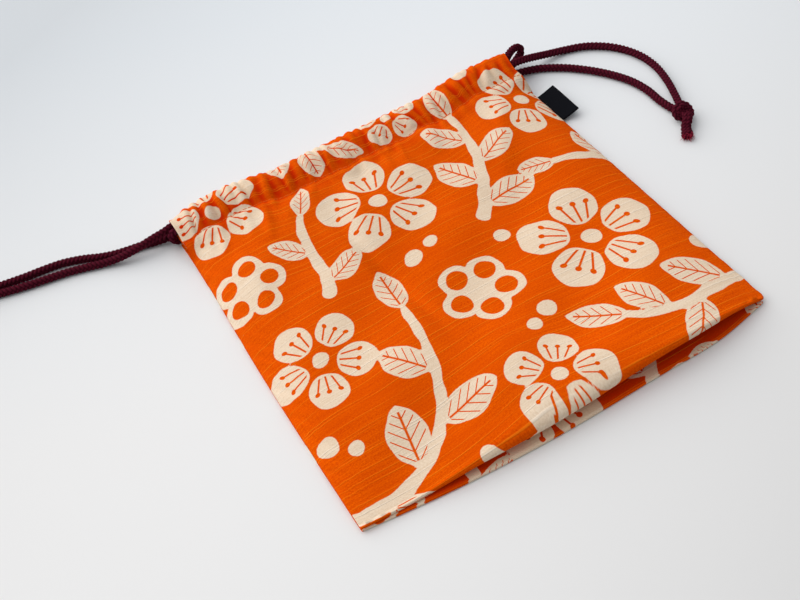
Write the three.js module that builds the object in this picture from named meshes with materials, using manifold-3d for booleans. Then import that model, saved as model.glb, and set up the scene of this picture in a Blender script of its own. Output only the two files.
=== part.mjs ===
// Drawstring pouch of printed cotton, lying flat with its mouth toward +Y and its tucked bottom
// toward -Y. One folded cloth makes the back, the tucked gusset, the front and both hem casings.
// Two drawcords run through the casings, each knotted on its own side. A folded label sits in the
// right side seam. Millimetres, +Z up, origin on the table under the middle of the cloth.

import * as THREE from 'three';
import { mergeVertices } from 'three/addons/utils/BufferGeometryUtils.js';
import Module from 'manifold-3d';

const wasm = await Module();
wasm.setup();

// Driving dimensions of the cloth
const BAG_WIDTH = 210;
const BAG_HEIGHT = 215;
const CLOTH = 0.5;
const LAYER_GAP = 0.35;
const SLIT_DEPTH = 31;
const SEAM_WIDTH = 3;
const SEAM_STEPS = 12;
const WAIST_LEFT = 2.5;
const WAIST_RIGHT = 0.4;
const WAIST_REACH = 62;
const GUSSET_DEPTH = 42;
const FRONT_BOW = 3.5;
const BACK_BOW = 7.5;

// Height of the front panel above the table, at its middle and along its bottom edge
const PANEL_HEIGHT = 13.2;
const EDGE_HEIGHT = 6;
const EDGE_LIFT = 6.5;
const EDGE_LIFT_X = 62;
const EDGE_LIFT_REACH = 45;
const FRONT_FOLD_RADIUS = 2;
const FLAT_FOLD_RADIUS = 0.7;
const BACK_FOLD_RADIUS = 0.55;
const TUCK_FOLD_RADIUS = 0.6;
const TUCK_HEIGHT = 3.2;

// Casings, mouth and gathers
const CASING_DEPTH = 20.5;
const CASING_RAMP = 4;
const HEM_ALLOWANCE = 3;
const MOUTH_GAP = 5.6;
const MOUTH_GAP_LEFT = 0.8;
const MOUTH_GAP_RIGHT = 3;
const MOUTH_SETBACK = 2.5;
const MOUTH_SAG = 5;
const MOUTH_SAG_X = 1;
const MOUTH_SAG_FLAT = 44;
const MOUTH_SAG_REACH = 76;
const GATHER_COUNT = 20;
const GATHER_HEIGHT = 0.8;
const GATHER_SCALLOP = 0.8;
const GATHER_WANDER = 0.18;
const GATHER_WANDER_COUNT = 2.2;
const STITCH_GATHER = 0.35;
const BELOW_STITCH_GATHER = 0.7;
const FADING_GATHER = 0.4;

// Cords, knots and label
const CORD_DIAMETER = 4.2;
const CORD_CLEARANCE = 0.3;
const CORD_SIDES = 10;
const KNOT_LENGTH = 15;
const KNOT_WIDTH = 11.5;
const KNOT_HEIGHT = 9;
const KNOT_WRAP_TILT_DEG = 25;
const TAIL_LENGTH = 12;
const LABEL_BELOW_MOUTH = 44.5;
const LABEL_LENGTH = 24;
const LABEL_REACH = 11;
const LABEL_LEAF = 0.3;
const LABEL_TILT_DEG = 15;
const TOUCH_GAP = 0.3;

// Routes of the drawcords' free tails and of the loop at the right end, points chosen by hand
const LEFT_FRONT_TAIL = [
  [-202.1, 123.65, 2.1], [-196, 122.2, 2.1], [-190, 120.4, 2.1], [-180, 118, 2.1],
  [-170, 116, 2.1], [-160, 113.9, 2.1], [-150, 110.8, 2.1], [-142, 107.8, 2.4],
  [-135, 105.2, 3.4], [-128, 103.3, 5], [-121, 102.2, 6.8], [-114, 101.7, 8.3], [-108, 101.5, 9.2],
];
const RIGHT_LOOP = [
  [106.3, 105, 12.3], [110.6, 107.8, 12], [114.9, 109.9, 10.6], [117, 109.8, 8.8],
  [116.5, 108.6, 7], [113.3, 107.4, 5.2], [109.3, 106, 3.9],
];
const LEFT_BACK_TAIL = [
  [-108, 103.8, 2.6], [-114, 105.6, 2.2], [-121, 107.6, 2.1], [-128, 108.9, 2.1],
  [-135, 110.7, 2.1], [-142, 113.6, 2.1], [-150, 118, 2.1], [-160, 121.9, 2.1],
  [-170, 123.7, 2.1], [-180, 124.9, 2.1], [-190, 126.6, 2.1], [-196, 127.8, 2.1], [-202.1, 128.35, 2.1],
];
const RIGHT_FRONT_TAIL = [
  [159.2, 20.9, 2.1], [161.5, 26.5, 2.1], [164, 33, 2.1], [167.3, 43, 2.1], [169.7, 55, 2.1],
  [169.4, 66.5, 2.1], [166, 77.5, 2.1], [160, 86.8, 2.1], [150.5, 95, 2.1], [140, 99.6, 2.1],
  [134, 100.6, 2.9], [128, 100.8, 4.3], [122, 100.2, 6.4], [116, 99.2, 8.7], [110, 98.2, 10.7],
];
const RIGHT_BACK_TAIL = [
  [108, 98.7, 2.7], [114, 97.6, 2.2], [120, 95, 2.1], [130, 87.5, 2.1], [139.5, 76.8, 2.1],
  [147, 65.2, 2.1], [152, 53.5, 2.1], [153.9, 42, 2.1], [153.7, 31, 2.1], [154.6, 21.9, 2.1],
];
const LEFT_KNOT_XY = [-210, 126];
const LEFT_KNOT_TURN_DEG = -90;
const RIGHT_KNOT_XY = [155.3, 14];
const RIGHT_KNOT_TURN_DEG = -12;
const RIGHT_TAIL_TURN_DEG = -25;

// How deep the cords lie below the mouth edge, at the ends where they leave the casings
const LEFT_CORD_DEPTH_FRONT = 5.2;
const LEFT_CORD_DEPTH_BACK = 4.4;
const RIGHT_CORD_DEPTH_FRONT = 10.2;
const RIGHT_CORD_DEPTH_BACK = 9.2;
const RIGHT_CORD_DEPTH_LEFT = 9.9;
const CASING_RUN_X = 102;
const CASING_STATIONS = [0, 0.08, 0.17, 0.28, 0.39, 0.5, 0.61, 0.72, 0.83, 0.92, 1];
const LEFT_BEND_ANGLES = [30, 60, 90, 120, 150];

// Mesh density: columns across the cloth, fine where it is gathered
const COLUMNS = 24;
const FINE_COLUMNS = 96;
const KNOT_SIDES = 16;
const KNOT_RINGS = 8;
const LABEL_FOLD_STEPS = 6;
const MERGE_DISTANCE = 1e-4;

// Values worked out from the sizes above
const HALF_WIDTH = BAG_WIDTH / 2;
const MOUTH_Y = BAG_HEIGHT / 2;
const BOTTOM_Y = -BAG_HEIGHT / 2;
const SEAM_TOP_Y = MOUTH_Y - SLIT_DEPTH;
const HALF_CLOTH = CLOTH / 2;
const LAYER_PITCH = CLOTH + LAYER_GAP;
const CHANNEL_HEIGHT = CORD_DIAMETER + 2 * CORD_CLEARANCE;
const CASING_THICKNESS = CHANNEL_HEIGHT + 2 * CLOTH;
const CASING_RADIUS = (CHANNEL_HEIGHT + CLOTH) / 2;
const STITCH_Y = MOUTH_Y - CASING_DEPTH;
const LABEL_Y = MOUTH_Y - LABEL_BELOW_MOUTH;
const MOUTH_FOLD_Y = MOUTH_Y - HALF_CLOTH - CASING_RADIUS;
const TUCK_Y = BOTTOM_Y + GUSSET_DEPTH;
const SLOPE_TOP_Y = TUCK_Y + GUSSET_DEPTH / 2;
const SIDE_LEVELS = [0, 1, 2, 3].map((layer) => HALF_CLOTH + layer * LAYER_PITCH);
const BACK_CORD_Z = CASING_THICKNESS / 2;

const lerp = THREE.MathUtils.lerp;
const smoothstep = THREE.MathUtils.smoothstep;

// Share of the full height at a place across the width: 1 in the middle, 0 at the side seams
function crown(x) {
  return 1 - Math.min(1, Math.abs(x) / HALF_WIDTH) ** 4;
}

// Distance of a side seam from the middle: side is below 0 for the left seam and above 0 for the right
function halfWidth(y, side) {
  const fromWaist = (y - SEAM_TOP_Y) / WAIST_REACH;
  const waist = side < 0 ? WAIST_LEFT : WAIST_RIGHT;
  return HALF_WIDTH - waist * Math.exp(-fromWaist * fromWaist);
}

function mouthGap(x) {
  const end = x < 0 ? MOUTH_GAP_LEFT : MOUTH_GAP_RIGHT;
  return lerp(end, MOUTH_GAP, crown(x));
}

// Height of a cord's middle inside the front casing
function frontCordZ(x) {
  return CASING_THICKNESS + mouthGap(x) + CASING_THICKNESS / 2;
}

// Rise of the gathers across the width, from 0 in a valley to 1 on a ridge
function gather(x) {
  const across = 2 * Math.PI * x / BAG_WIDTH;
  const wander = GATHER_WANDER * Math.sin(GATHER_WANDER_COUNT * across);
  return (1 + Math.sin(GATHER_COUNT * across + 2 * Math.PI * wander)) / 2;
}

// Height of the front panel's bottom edge, lifted most right of the middle
function edgeHeight(x) {
  const fromLift = (x - EDGE_LIFT_X) / EDGE_LIFT_REACH;
  return EDGE_HEIGHT + EDGE_LIFT * Math.exp(-fromLift * fromLift);
}

function frontEdgeZ(x) {
  return lerp(SIDE_LEVELS[3], edgeHeight(x), crown(x));
}

function frontFoldRadius(x) {
  const lifted = (edgeHeight(x) - EDGE_HEIGHT) / EDGE_LIFT;
  const open = lerp(FLAT_FOLD_RADIUS, FRONT_FOLD_RADIUS, lifted);
  return lerp(LAYER_PITCH / 2, open, crown(x));
}

function backFoldRadius(x) {
  return lerp(LAYER_PITCH / 2, BACK_FOLD_RADIUS, crown(x));
}

function tuckFoldRadius(x) {
  return lerp(LAYER_PITCH / 2, TUCK_FOLD_RADIUS, crown(x));
}

function tuckZ(x) {
  return lerp(SIDE_LEVELS[1], TUCK_HEIGHT, crown(x));
}

// Height of the front panel from its bottom edge up to the casing seam
function frontPanelZ(x, y) {
  const stitchZ = frontCordZ(x) + LAYER_PITCH / 2;
  const aboveEdge = smoothstep(y, BOTTOM_Y, SLOPE_TOP_Y);
  const middle = lerp(edgeHeight(x), PANEL_HEIGHT, aboveEdge);
  const panel = lerp(SIDE_LEVELS[3], middle, crown(x));
  const sideRise = smoothstep(y, SEAM_TOP_Y, STITCH_Y);
  const middleRise = smoothstep(y, 0, STITCH_Y);
  return lerp(panel, stitchZ, lerp(sideRise, middleRise, crown(x)));
}

// Place of the front layer along Y: its mouth edge sags in the middle
function frontY(x, y) {
  const sag = 1 - smoothstep(Math.abs(x - MOUTH_SAG_X), MOUTH_SAG_FLAT, MOUTH_SAG_REACH);
  const setback = MOUTH_SETBACK * crown(x) + MOUTH_SAG * sag;
  return y - setback * smoothstep(y, 0, STITCH_Y);
}

// How far the bottom edge of a layer bows out at the middle of the width
function bow(x, amount) {
  return amount * (1 - (x / HALF_WIDTH) ** 2);
}

// A row is one line of the cloth's middle surface across the width: y and z as functions of x
function row(columns, y, z) {
  return { columns, y, z };
}

// Rows of a rounded fold, from angle a to angle b in degrees, about a centre at (y, z)
function foldRows(columns, centreY, centreZ, radius, a, b) {
  const steps = [0.25, 0.5, 0.75];
  return steps.map((share) => {
    const angle = THREE.MathUtils.degToRad(lerp(a, b, share));
    return row(
      columns,
      (x) => centreY(x) + radius(x) * Math.cos(angle),
      (x) => centreZ(x) + radius(x) * Math.sin(angle),
    );
  });
}

function backCasingRows() {
  const flat = (value) => () => value;
  const hemZ = flat(SIDE_LEVELS[1]);
  const topZ = flat(BACK_CORD_Z + CASING_RADIUS);
  const outerZ = flat(HALF_CLOTH);
  return [
    row(COLUMNS, flat(STITCH_Y - HEM_ALLOWANCE), hemZ),
    row(COLUMNS, flat(STITCH_Y), hemZ),
    row(COLUMNS, flat(STITCH_Y + CASING_RAMP), topZ),
    row(COLUMNS, flat(MOUTH_FOLD_Y), topZ),
    ...foldRows(COLUMNS, flat(MOUTH_FOLD_Y), flat(BACK_CORD_Z), flat(CASING_RADIUS), 90, -90),
    row(COLUMNS, flat(MOUTH_FOLD_Y), outerZ),
  ];
}

function backPanelRows() {
  const places = [STITCH_Y, SEAM_TOP_Y, SEAM_TOP_Y / 2, 0, TUCK_Y / 2, TUCK_Y];
  return places.map((place) => row(COLUMNS, () => place, () => HALF_CLOTH));
}

// The tuck: round the back edge, in to the tuck fold and out again to the front edge
function gussetRows() {
  const backY = (x) => BOTTOM_Y - bow(x, BACK_BOW) + HALF_CLOTH + backFoldRadius(x);
  const backZ = (x) => HALF_CLOTH + backFoldRadius(x);
  const lowerZ = (x) => HALF_CLOTH + 2 * backFoldRadius(x);
  const tuckCentreZ = (x) => tuckZ(x) + tuckFoldRadius(x);
  const upperTuckZ = (x) => tuckZ(x) + 2 * tuckFoldRadius(x);
  const edgeY = (x) => BOTTOM_Y - bow(x, FRONT_BOW) + HALF_CLOTH + frontFoldRadius(x);
  const edgeZ = (x) => frontEdgeZ(x) - frontFoldRadius(x);
  const upperZ = (x) => frontEdgeZ(x) - 2 * frontFoldRadius(x);
  const middleY = (outerY) => (x) => (outerY(x) + TUCK_Y) / 2;
  const tuckY = () => TUCK_Y;
  return [
    row(COLUMNS, backY, () => HALF_CLOTH),
    ...foldRows(COLUMNS, backY, backZ, backFoldRadius, 270, 90),
    row(COLUMNS, backY, lowerZ),
    row(COLUMNS, middleY(backY), (x) => (lowerZ(x) + tuckZ(x)) / 2),
    row(COLUMNS, tuckY, tuckZ),
    ...foldRows(COLUMNS, tuckY, tuckCentreZ, tuckFoldRadius, -90, 90),
    row(COLUMNS, tuckY, upperTuckZ),
    row(COLUMNS, middleY(edgeY), (x) => (upperZ(x) + upperTuckZ(x)) / 2),
    row(COLUMNS, edgeY, upperZ),
    ...foldRows(COLUMNS, edgeY, edgeZ, frontFoldRadius, 270, 90),
    row(COLUMNS, edgeY, frontEdgeZ),
  ];
}

// A front panel row at height y, lifted by its share of the gathers
function panelRow(columns, y, gathered) {
  return row(
    columns,
    (x) => frontY(x, y),
    (x) => frontPanelZ(x, y) + gathered * GATHER_HEIGHT * gather(x),
  );
}

function frontPanelRows() {
  const plain = [(BOTTOM_Y + TUCK_Y) / 2, TUCK_Y, SLOPE_TOP_Y, 0, STITCH_Y / 3, 2 * STITCH_Y / 3];
  return [
    ...plain.map((y) => panelRow(COLUMNS, y, 0)),
    panelRow(FINE_COLUMNS, SEAM_TOP_Y, FADING_GATHER),
    panelRow(FINE_COLUMNS, (SEAM_TOP_Y + STITCH_Y) / 2, BELOW_STITCH_GATHER),
    panelRow(FINE_COLUMNS, STITCH_Y, STITCH_GATHER),
  ];
}

function frontCasingRows() {
  const mouthY = (x) => frontY(x, MOUTH_FOLD_Y) - GATHER_SCALLOP * (1 - gather(x));
  const outerZ = (x) => frontCordZ(x) + CASING_RADIUS + GATHER_HEIGHT * gather(x);
  const innerZ = (x) => frontCordZ(x) - CASING_RADIUS;
  const hemZ = (x) => frontCordZ(x) - LAYER_PITCH / 2;
  const at = (y) => (x) => frontY(x, y);
  const hemEndY = STITCH_Y - HEM_ALLOWANCE;
  return [
    row(FINE_COLUMNS, at(STITCH_Y + CASING_RAMP), outerZ),
    row(FINE_COLUMNS, mouthY, outerZ),
    ...foldRows(FINE_COLUMNS, mouthY, frontCordZ, () => CASING_RADIUS, 90, -90),
    row(COLUMNS, at(MOUTH_FOLD_Y - GATHER_SCALLOP), innerZ),
    row(COLUMNS, at(STITCH_Y + CASING_RAMP), innerZ),
    row(COLUMNS, at(STITCH_Y), hemZ),
    row(COLUMNS, at(hemEndY), (x) => frontPanelZ(x, hemEndY) - LAYER_PITCH),
  ];
}

// Point of a row at u, where u runs from 0 at the left seam to 1 at the right seam
function rowPoint(line, u) {
  const x = (2 * u - 1) * HALF_WIDTH;
  const y = line.y(x);
  return new THREE.Vector3((2 * u - 1) * halfWidth(y, x), y, line.z(x));
}

function rowNormal(rows, index, u) {
  const step = 1 / (2 * FINE_COLUMNS);
  const along = rowPoint(rows[Math.min(index + 1, rows.length - 1)], u);
  along.sub(rowPoint(rows[Math.max(index - 1, 0)], u));
  const across = rowPoint(rows[index], Math.min(1, u + step));
  across.sub(rowPoint(rows[index], Math.max(0, u - step)));
  return across.cross(along).normalize();
}

// Triangles between two neighbouring rows whose column counts may differ
function stitchRows(indices, first, second, flip) {
  let i = 0;
  let j = 0;
  const push = (a, b, c) => (flip ? indices.push(a, c, b) : indices.push(a, b, c));
  while (i < first.columns || j < second.columns) {
    const nextFirst = (i + 1) / first.columns;
    const nextSecond = (j + 1) / second.columns;
    if (j === second.columns || (i < first.columns && nextFirst <= nextSecond)) {
      push(first.start + i, first.start + i + 1, second.start + j);
      i += 1;
    } else {
      push(first.start + i, second.start + j + 1, second.start + j);
      j += 1;
    }
  }
}

// Closed sheet of the cloth's thickness about the middle surface that the rows describe
function sheetGeometry(rows) {
  const positions = [];
  const indices = [];
  const faces = [1, -1].map((side) => rows.map((line, index) => {
    const start = positions.length / 3;
    for (let column = 0; column <= line.columns; column += 1) {
      const u = column / line.columns;
      const point = rowPoint(line, u).addScaledVector(rowNormal(rows, index, u), side * HALF_CLOTH);
      positions.push(point.x, point.y, point.z);
    }
    return { start, columns: line.columns };
  }));
  const [outer, inner] = faces;
  for (let index = 0; index + 1 < rows.length; index += 1) {
    stitchRows(indices, outer[index], outer[index + 1], false);
    stitchRows(indices, inner[index], inner[index + 1], true);
    const rim = (line, end) => line.start + (end ? line.columns : 0);
    for (const end of [false, true]) {
      const [a, b] = [rim(outer[index], end), rim(outer[index + 1], end)];
      const [c, d] = [rim(inner[index + 1], end), rim(inner[index], end)];
      indices.push(...(end ? [a, c, b, a, d, c] : [a, b, c, a, c, d]));
    }
  }
  stitchRows(indices, inner[0], outer[0], false);
  stitchRows(indices, outer[rows.length - 1], inner[rows.length - 1], false);
  const geometry = new THREE.BufferGeometry();
  geometry.setAttribute('position', new THREE.Float32BufferAttribute(positions, 3));
  geometry.setIndex(indices);
  return geometry;
}

// Strip that sews all layers together along one side seam, from the bottom edge to the slit
function seamGeometry(side) {
  const positions = [];
  const indices = [];
  const low = BOTTOM_Y + CLOTH + LAYER_PITCH / 2;
  for (let step = 0; step <= SEAM_STEPS; step += 1) {
    const y = lerp(low, SEAM_TOP_Y, step / SEAM_STEPS);
    for (const inset of [HALF_CLOTH, SEAM_WIDTH]) {
      const x = halfWidth(y, side) - inset;
      positions.push(side * x, y, HALF_CLOTH);
      positions.push(side * x, y, frontPanelZ(side * (HALF_WIDTH - inset), y));
    }
  }
  const quad = (a, b, c, d) => {
    indices.push(...(side > 0 ? [a, b, c, a, c, d] : [a, c, b, a, d, c]));
  };
  for (let step = 0; step < SEAM_STEPS; step += 1) {
    const a = 4 * step;
    const b = a + 4;
    quad(a, b, b + 1, a + 1);
    quad(a + 1, b + 1, b + 3, a + 3);
    quad(a + 3, b + 3, b + 2, a + 2);
    quad(a + 2, b + 2, b, a);
  }
  const last = 4 * SEAM_STEPS;
  quad(0, 1, 3, 2);
  quad(last, last + 2, last + 3, last + 1);
  const geometry = new THREE.BufferGeometry();
  geometry.setAttribute('position', new THREE.Float32BufferAttribute(positions, 3));
  geometry.setIndex(indices);
  return geometry;
}

function toSolid(geometry) {
  const bare = geometry.clone();
  bare.deleteAttribute('normal');
  bare.deleteAttribute('uv');
  const merged = mergeVertices(bare, MERGE_DISTANCE);
  return new wasm.Manifold(new wasm.Mesh({
    numProp: 3,
    vertProperties: new Float32Array(merged.attributes.position.array),
    triVerts: new Uint32Array(merged.index.array),
  }));
}

function toGeometry(solid) {
  const mesh = solid.getMesh();
  const geometry = new THREE.BufferGeometry();
  geometry.setAttribute('position', new THREE.Float32BufferAttribute(mesh.vertProperties, 3));
  geometry.setIndex(Array.from(mesh.triVerts));
  geometry.computeVertexNormals();
  return geometry;
}

function bagBody() {
  const rows = [
    ...backCasingRows(),
    ...backPanelRows(),
    ...gussetRows(),
    ...frontPanelRows(),
    ...frontCasingRows(),
  ];
  const sheet = toSolid(sheetGeometry(rows));
  return toGeometry(sheet.add(toSolid(seamGeometry(-1))).add(toSolid(seamGeometry(1))));
}

// A drawcord's middle line. It takes equal steps between its points, which lie closer at the bends.
class CordLine extends THREE.CatmullRomCurve3 {
  getUtoTmapping(u) {
    return u;
  }
}

// Points of a run through the front casing, given how deep it lies below the mouth edge at each end
function frontRun(startX, endX, depthIn, depthOut) {
  return CASING_STATIONS.map((share) => {
    const x = lerp(startX, endX, share);
    return [x, frontY(x, MOUTH_Y - lerp(depthIn, depthOut, share)), frontCordZ(x)];
  });
}

function backRun(startX, endX, depthIn, depthOut) {
  return CASING_STATIONS.map((share) => {
    const x = lerp(startX, endX, share);
    return [x, MOUTH_Y - lerp(depthIn, depthOut, share), BACK_CORD_Z];
  });
}

// Round bend out of the front casing's left end and back into the back casing
function leftBend() {
  const backY = MOUTH_Y - RIGHT_CORD_DEPTH_LEFT;
  const outY = frontY(-CASING_RUN_X, backY);
  const radius = (frontCordZ(-CASING_RUN_X) - BACK_CORD_Z) / 2;
  return LEFT_BEND_ANGLES.map((degrees) => {
    const angle = THREE.MathUtils.degToRad(degrees);
    const rise = (1 + Math.cos(angle)) / 2;
    const x = -CASING_RUN_X - radius * Math.sin(angle);
    return [x, lerp(backY, outY, rise), BACK_CORD_Z + 2 * radius * rise];
  });
}

function roundShape(radius, sides) {
  const points = Array.from({ length: sides }, (_, side) => {
    const angle = 2 * Math.PI * side / sides;
    return new THREE.Vector2(radius * Math.cos(angle), radius * Math.sin(angle));
  });
  return new THREE.Shape(points);
}

function tubeGeometry(points, stepsPerPoint) {
  const line = new CordLine(points.map((point) => new THREE.Vector3(...point)));
  return new THREE.ExtrudeGeometry(roundShape(CORD_DIAMETER / 2, CORD_SIDES), {
    steps: stepsPerPoint * (points.length - 1),
    bevelEnabled: false,
    extrudePath: line,
  });
}

// Overhand knot of two tails: a rounded lump, the turn that wraps it, and the two cut ends.
// The tails enter at +Y and the cut ends leave at -Y, turned by tailTurn degrees.
function knotGeometry(tailTurn) {
  const lump = new THREE.SphereGeometry(0.5, KNOT_SIDES, KNOT_RINGS);
  lump.scale(KNOT_WIDTH - CORD_DIAMETER / 2, KNOT_LENGTH, KNOT_HEIGHT - CORD_DIAMETER / 2);
  const wrapAcross = KNOT_WIDTH - CORD_DIAMETER;
  const wrap = new THREE.TorusGeometry(wrapAcross / 2, CORD_DIAMETER / 2, KNOT_RINGS, KNOT_SIDES);
  wrap.scale(1, (KNOT_HEIGHT - CORD_DIAMETER) / wrapAcross, 1);
  wrap.rotateX(Math.PI / 2 + THREE.MathUtils.degToRad(KNOT_WRAP_TILT_DEG));
  let solid = toSolid(lump).add(toSolid(wrap));
  for (const side of [-1, 1]) {
    const startX = side * (CORD_DIAMETER / 2 + TOUCH_GAP / 2);
    const sink = KNOT_LENGTH / 2 - CORD_DIAMETER;
    const end = sink + CORD_DIAMETER + TAIL_LENGTH;
    const tail = tubeGeometry([
      [startX, -sink, CORD_DIAMETER / 2 - KNOT_HEIGHT / 2],
      [startX, -(sink + end) / 2, CORD_DIAMETER / 2 - KNOT_HEIGHT / 2],
      [startX, -end, CORD_DIAMETER / 2 - KNOT_HEIGHT / 2],
    ], 1);
    tail.rotateZ(THREE.MathUtils.degToRad(tailTurn));
    solid = solid.add(toSolid(tail));
  }
  return toGeometry(solid);
}

// Woven tape folded double, its two leaves meeting the seam and its fold outward
function labelGeometry() {
  const half = LABEL_LEAF + TOUCH_GAP / 2;
  const round = LABEL_REACH - half;
  const section = new THREE.Shape();
  section.moveTo(0, -half);
  section.lineTo(round, -half);
  section.absarc(round, 0, half, -Math.PI / 2, Math.PI / 2, false);
  section.lineTo(0, half);
  section.lineTo(0, TOUCH_GAP / 2);
  section.lineTo(round, TOUCH_GAP / 2);
  section.absarc(round, 0, TOUCH_GAP / 2, Math.PI / 2, -Math.PI / 2, true);
  section.lineTo(0, -TOUCH_GAP / 2);
  const geometry = new THREE.ExtrudeGeometry(section, {
    depth: LABEL_LENGTH,
    bevelEnabled: false,
    curveSegments: LABEL_FOLD_STEPS,
  });
  geometry.translate(0, 0, -LABEL_LENGTH / 2);
  geometry.rotateX(Math.PI / 2);
  return geometry;
}

const cottonMaterial = new THREE.MeshStandardMaterial({ color: 0xd95a10, roughness: 0.85, metalness: 0 });
const cordMaterial = new THREE.MeshStandardMaterial({ color: 0x451220, roughness: 0.7, metalness: 0 });
const labelMaterial = new THREE.MeshStandardMaterial({ color: 0x14161c, roughness: 0.6, metalness: 0 });

const bag = new THREE.Group();

function addPart(name, geometry, material) {
  const mesh = new THREE.Mesh(geometry, material);
  mesh.name = name;
  bag.add(mesh);
  return mesh;
}

addPart('bag_body', bagBody(), cottonMaterial);

// The left cord: front tail, front casing, loop at the right end, back casing, back tail
const leftCordPoints = [
  ...LEFT_FRONT_TAIL,
  ...frontRun(-CASING_RUN_X, CASING_RUN_X, LEFT_CORD_DEPTH_FRONT, LEFT_CORD_DEPTH_FRONT),
  ...RIGHT_LOOP,
  ...backRun(CASING_RUN_X, -CASING_RUN_X, LEFT_CORD_DEPTH_BACK, LEFT_CORD_DEPTH_BACK),
  ...LEFT_BACK_TAIL,
];
addPart('left_drawcord', tubeGeometry(leftCordPoints, 1), cordMaterial);

// The right cord: front tail, front casing, bend at the left end, back casing, back tail
const rightCordPoints = [
  ...RIGHT_FRONT_TAIL,
  ...frontRun(CASING_RUN_X, -CASING_RUN_X, RIGHT_CORD_DEPTH_FRONT, RIGHT_CORD_DEPTH_LEFT),
  ...leftBend(),
  ...backRun(-CASING_RUN_X, CASING_RUN_X, RIGHT_CORD_DEPTH_LEFT, RIGHT_CORD_DEPTH_BACK),
  ...RIGHT_BACK_TAIL,
];
addPart('right_drawcord', tubeGeometry(rightCordPoints, 1), cordMaterial);

const leftKnot = addPart('left_knot', knotGeometry(0), cordMaterial);
leftKnot.position.set(...LEFT_KNOT_XY, KNOT_HEIGHT / 2);
leftKnot.rotation.z = THREE.MathUtils.degToRad(LEFT_KNOT_TURN_DEG);

const rightKnot = addPart('right_knot', knotGeometry(RIGHT_TAIL_TURN_DEG), cordMaterial);
rightKnot.position.set(...RIGHT_KNOT_XY, KNOT_HEIGHT / 2);
rightKnot.rotation.z = THREE.MathUtils.degToRad(RIGHT_KNOT_TURN_DEG);

const label = addPart('side_label', labelGeometry(), labelMaterial);
label.position.x = halfWidth(LABEL_Y - LABEL_LENGTH / 2, 1) + TOUCH_GAP;
label.position.y = LABEL_Y;
label.position.z = (SIDE_LEVELS[0] + SIDE_LEVELS[3]) / 2;
label.rotation.y = THREE.MathUtils.degToRad(-LABEL_TILT_DEG);

export default bag;
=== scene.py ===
"""Drawstring pouch of printed slub cotton, lying on a pale table with its knotted cords spread out.

Sizes are in millimetres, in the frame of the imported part, and MM turns them into metres.
The cloth is one sheet: back casing, back panel, tucked gusset, front panel, front casing.
"""

import math

import bpy
import numpy as np
from mathutils import Matrix


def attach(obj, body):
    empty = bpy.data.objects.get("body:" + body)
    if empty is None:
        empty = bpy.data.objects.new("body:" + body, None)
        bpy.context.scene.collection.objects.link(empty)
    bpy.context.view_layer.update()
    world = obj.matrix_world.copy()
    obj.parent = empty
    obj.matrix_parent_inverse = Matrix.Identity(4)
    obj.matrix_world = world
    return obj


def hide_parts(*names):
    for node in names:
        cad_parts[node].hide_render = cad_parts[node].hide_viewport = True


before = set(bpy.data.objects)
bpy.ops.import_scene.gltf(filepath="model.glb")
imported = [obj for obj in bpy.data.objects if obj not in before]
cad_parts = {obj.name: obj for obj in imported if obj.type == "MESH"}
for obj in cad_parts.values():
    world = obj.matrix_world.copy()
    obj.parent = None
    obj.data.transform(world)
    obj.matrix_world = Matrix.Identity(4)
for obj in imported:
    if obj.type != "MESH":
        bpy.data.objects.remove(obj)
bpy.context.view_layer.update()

MM = 0.001

# Main sizes of the cloth
BAG_WIDTH = 210.0
BAG_HEIGHT = 215.0
CLOTH = 0.5
LAYER_GAP = 0.35
SLIT_DEPTH = 31.0
WAIST_LEFT = 2.5
WAIST_RIGHT = 0.4
WAIST_REACH = 62.0
GUSSET_DEPTH = 42.0
FRONT_BOW = 3.5
BACK_BOW = 7.5
PANEL_HEIGHT = 13.2
EDGE_HEIGHT = 6.0
EDGE_LIFT = 6.5
FRONT_FOLD_RADIUS = 2.0
FLAT_FOLD_RADIUS = 0.7
BACK_FOLD_RADIUS = 0.55
TUCK_FOLD_RADIUS = 0.6
TUCK_HEIGHT = 3.2
CASING_DEPTH = 20.5
CASING_RAMP = 6.0
HEM_ALLOWANCE = 3.0
MOUTH_GAP = 5.6
MOUTH_GAP_LEFT = 0.8
MOUTH_GAP_RIGHT = 3.0
MOUTH_SETBACK = 2.5
MOUTH_SAG = 5.0
MOUTH_SAG_X = 1.0
MOUTH_SAG_FLAT = 44.0
MOUTH_SAG_REACH = 76.0
CORD_DIAMETER = 4.2
CORD_CLEARANCE = 0.3

HALF_WIDTH = BAG_WIDTH / 2
MOUTH_Y = BAG_HEIGHT / 2
BOTTOM_Y = -BAG_HEIGHT / 2
SEAM_TOP_Y = MOUTH_Y - SLIT_DEPTH
HALF_CLOTH = CLOTH / 2
LAYER_PITCH = CLOTH + LAYER_GAP
CHANNEL_HEIGHT = CORD_DIAMETER + 2 * CORD_CLEARANCE
CASING_THICKNESS = CHANNEL_HEIGHT + 2 * CLOTH
CASING_RADIUS = (CHANNEL_HEIGHT + CLOTH) / 2
STITCH_Y = MOUTH_Y - CASING_DEPTH
MOUTH_FOLD_Y = MOUTH_Y - HALF_CLOTH - CASING_RADIUS
TUCK_Y = BOTTOM_Y + GUSSET_DEPTH
SLOPE_TOP_Y = TUCK_Y + GUSSET_DEPTH / 2
SIDE_LEVELS = [HALF_CLOTH + layer * LAYER_PITCH for layer in range(4)]
BACK_CORD_Z = CASING_THICKNESS / 2

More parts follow.
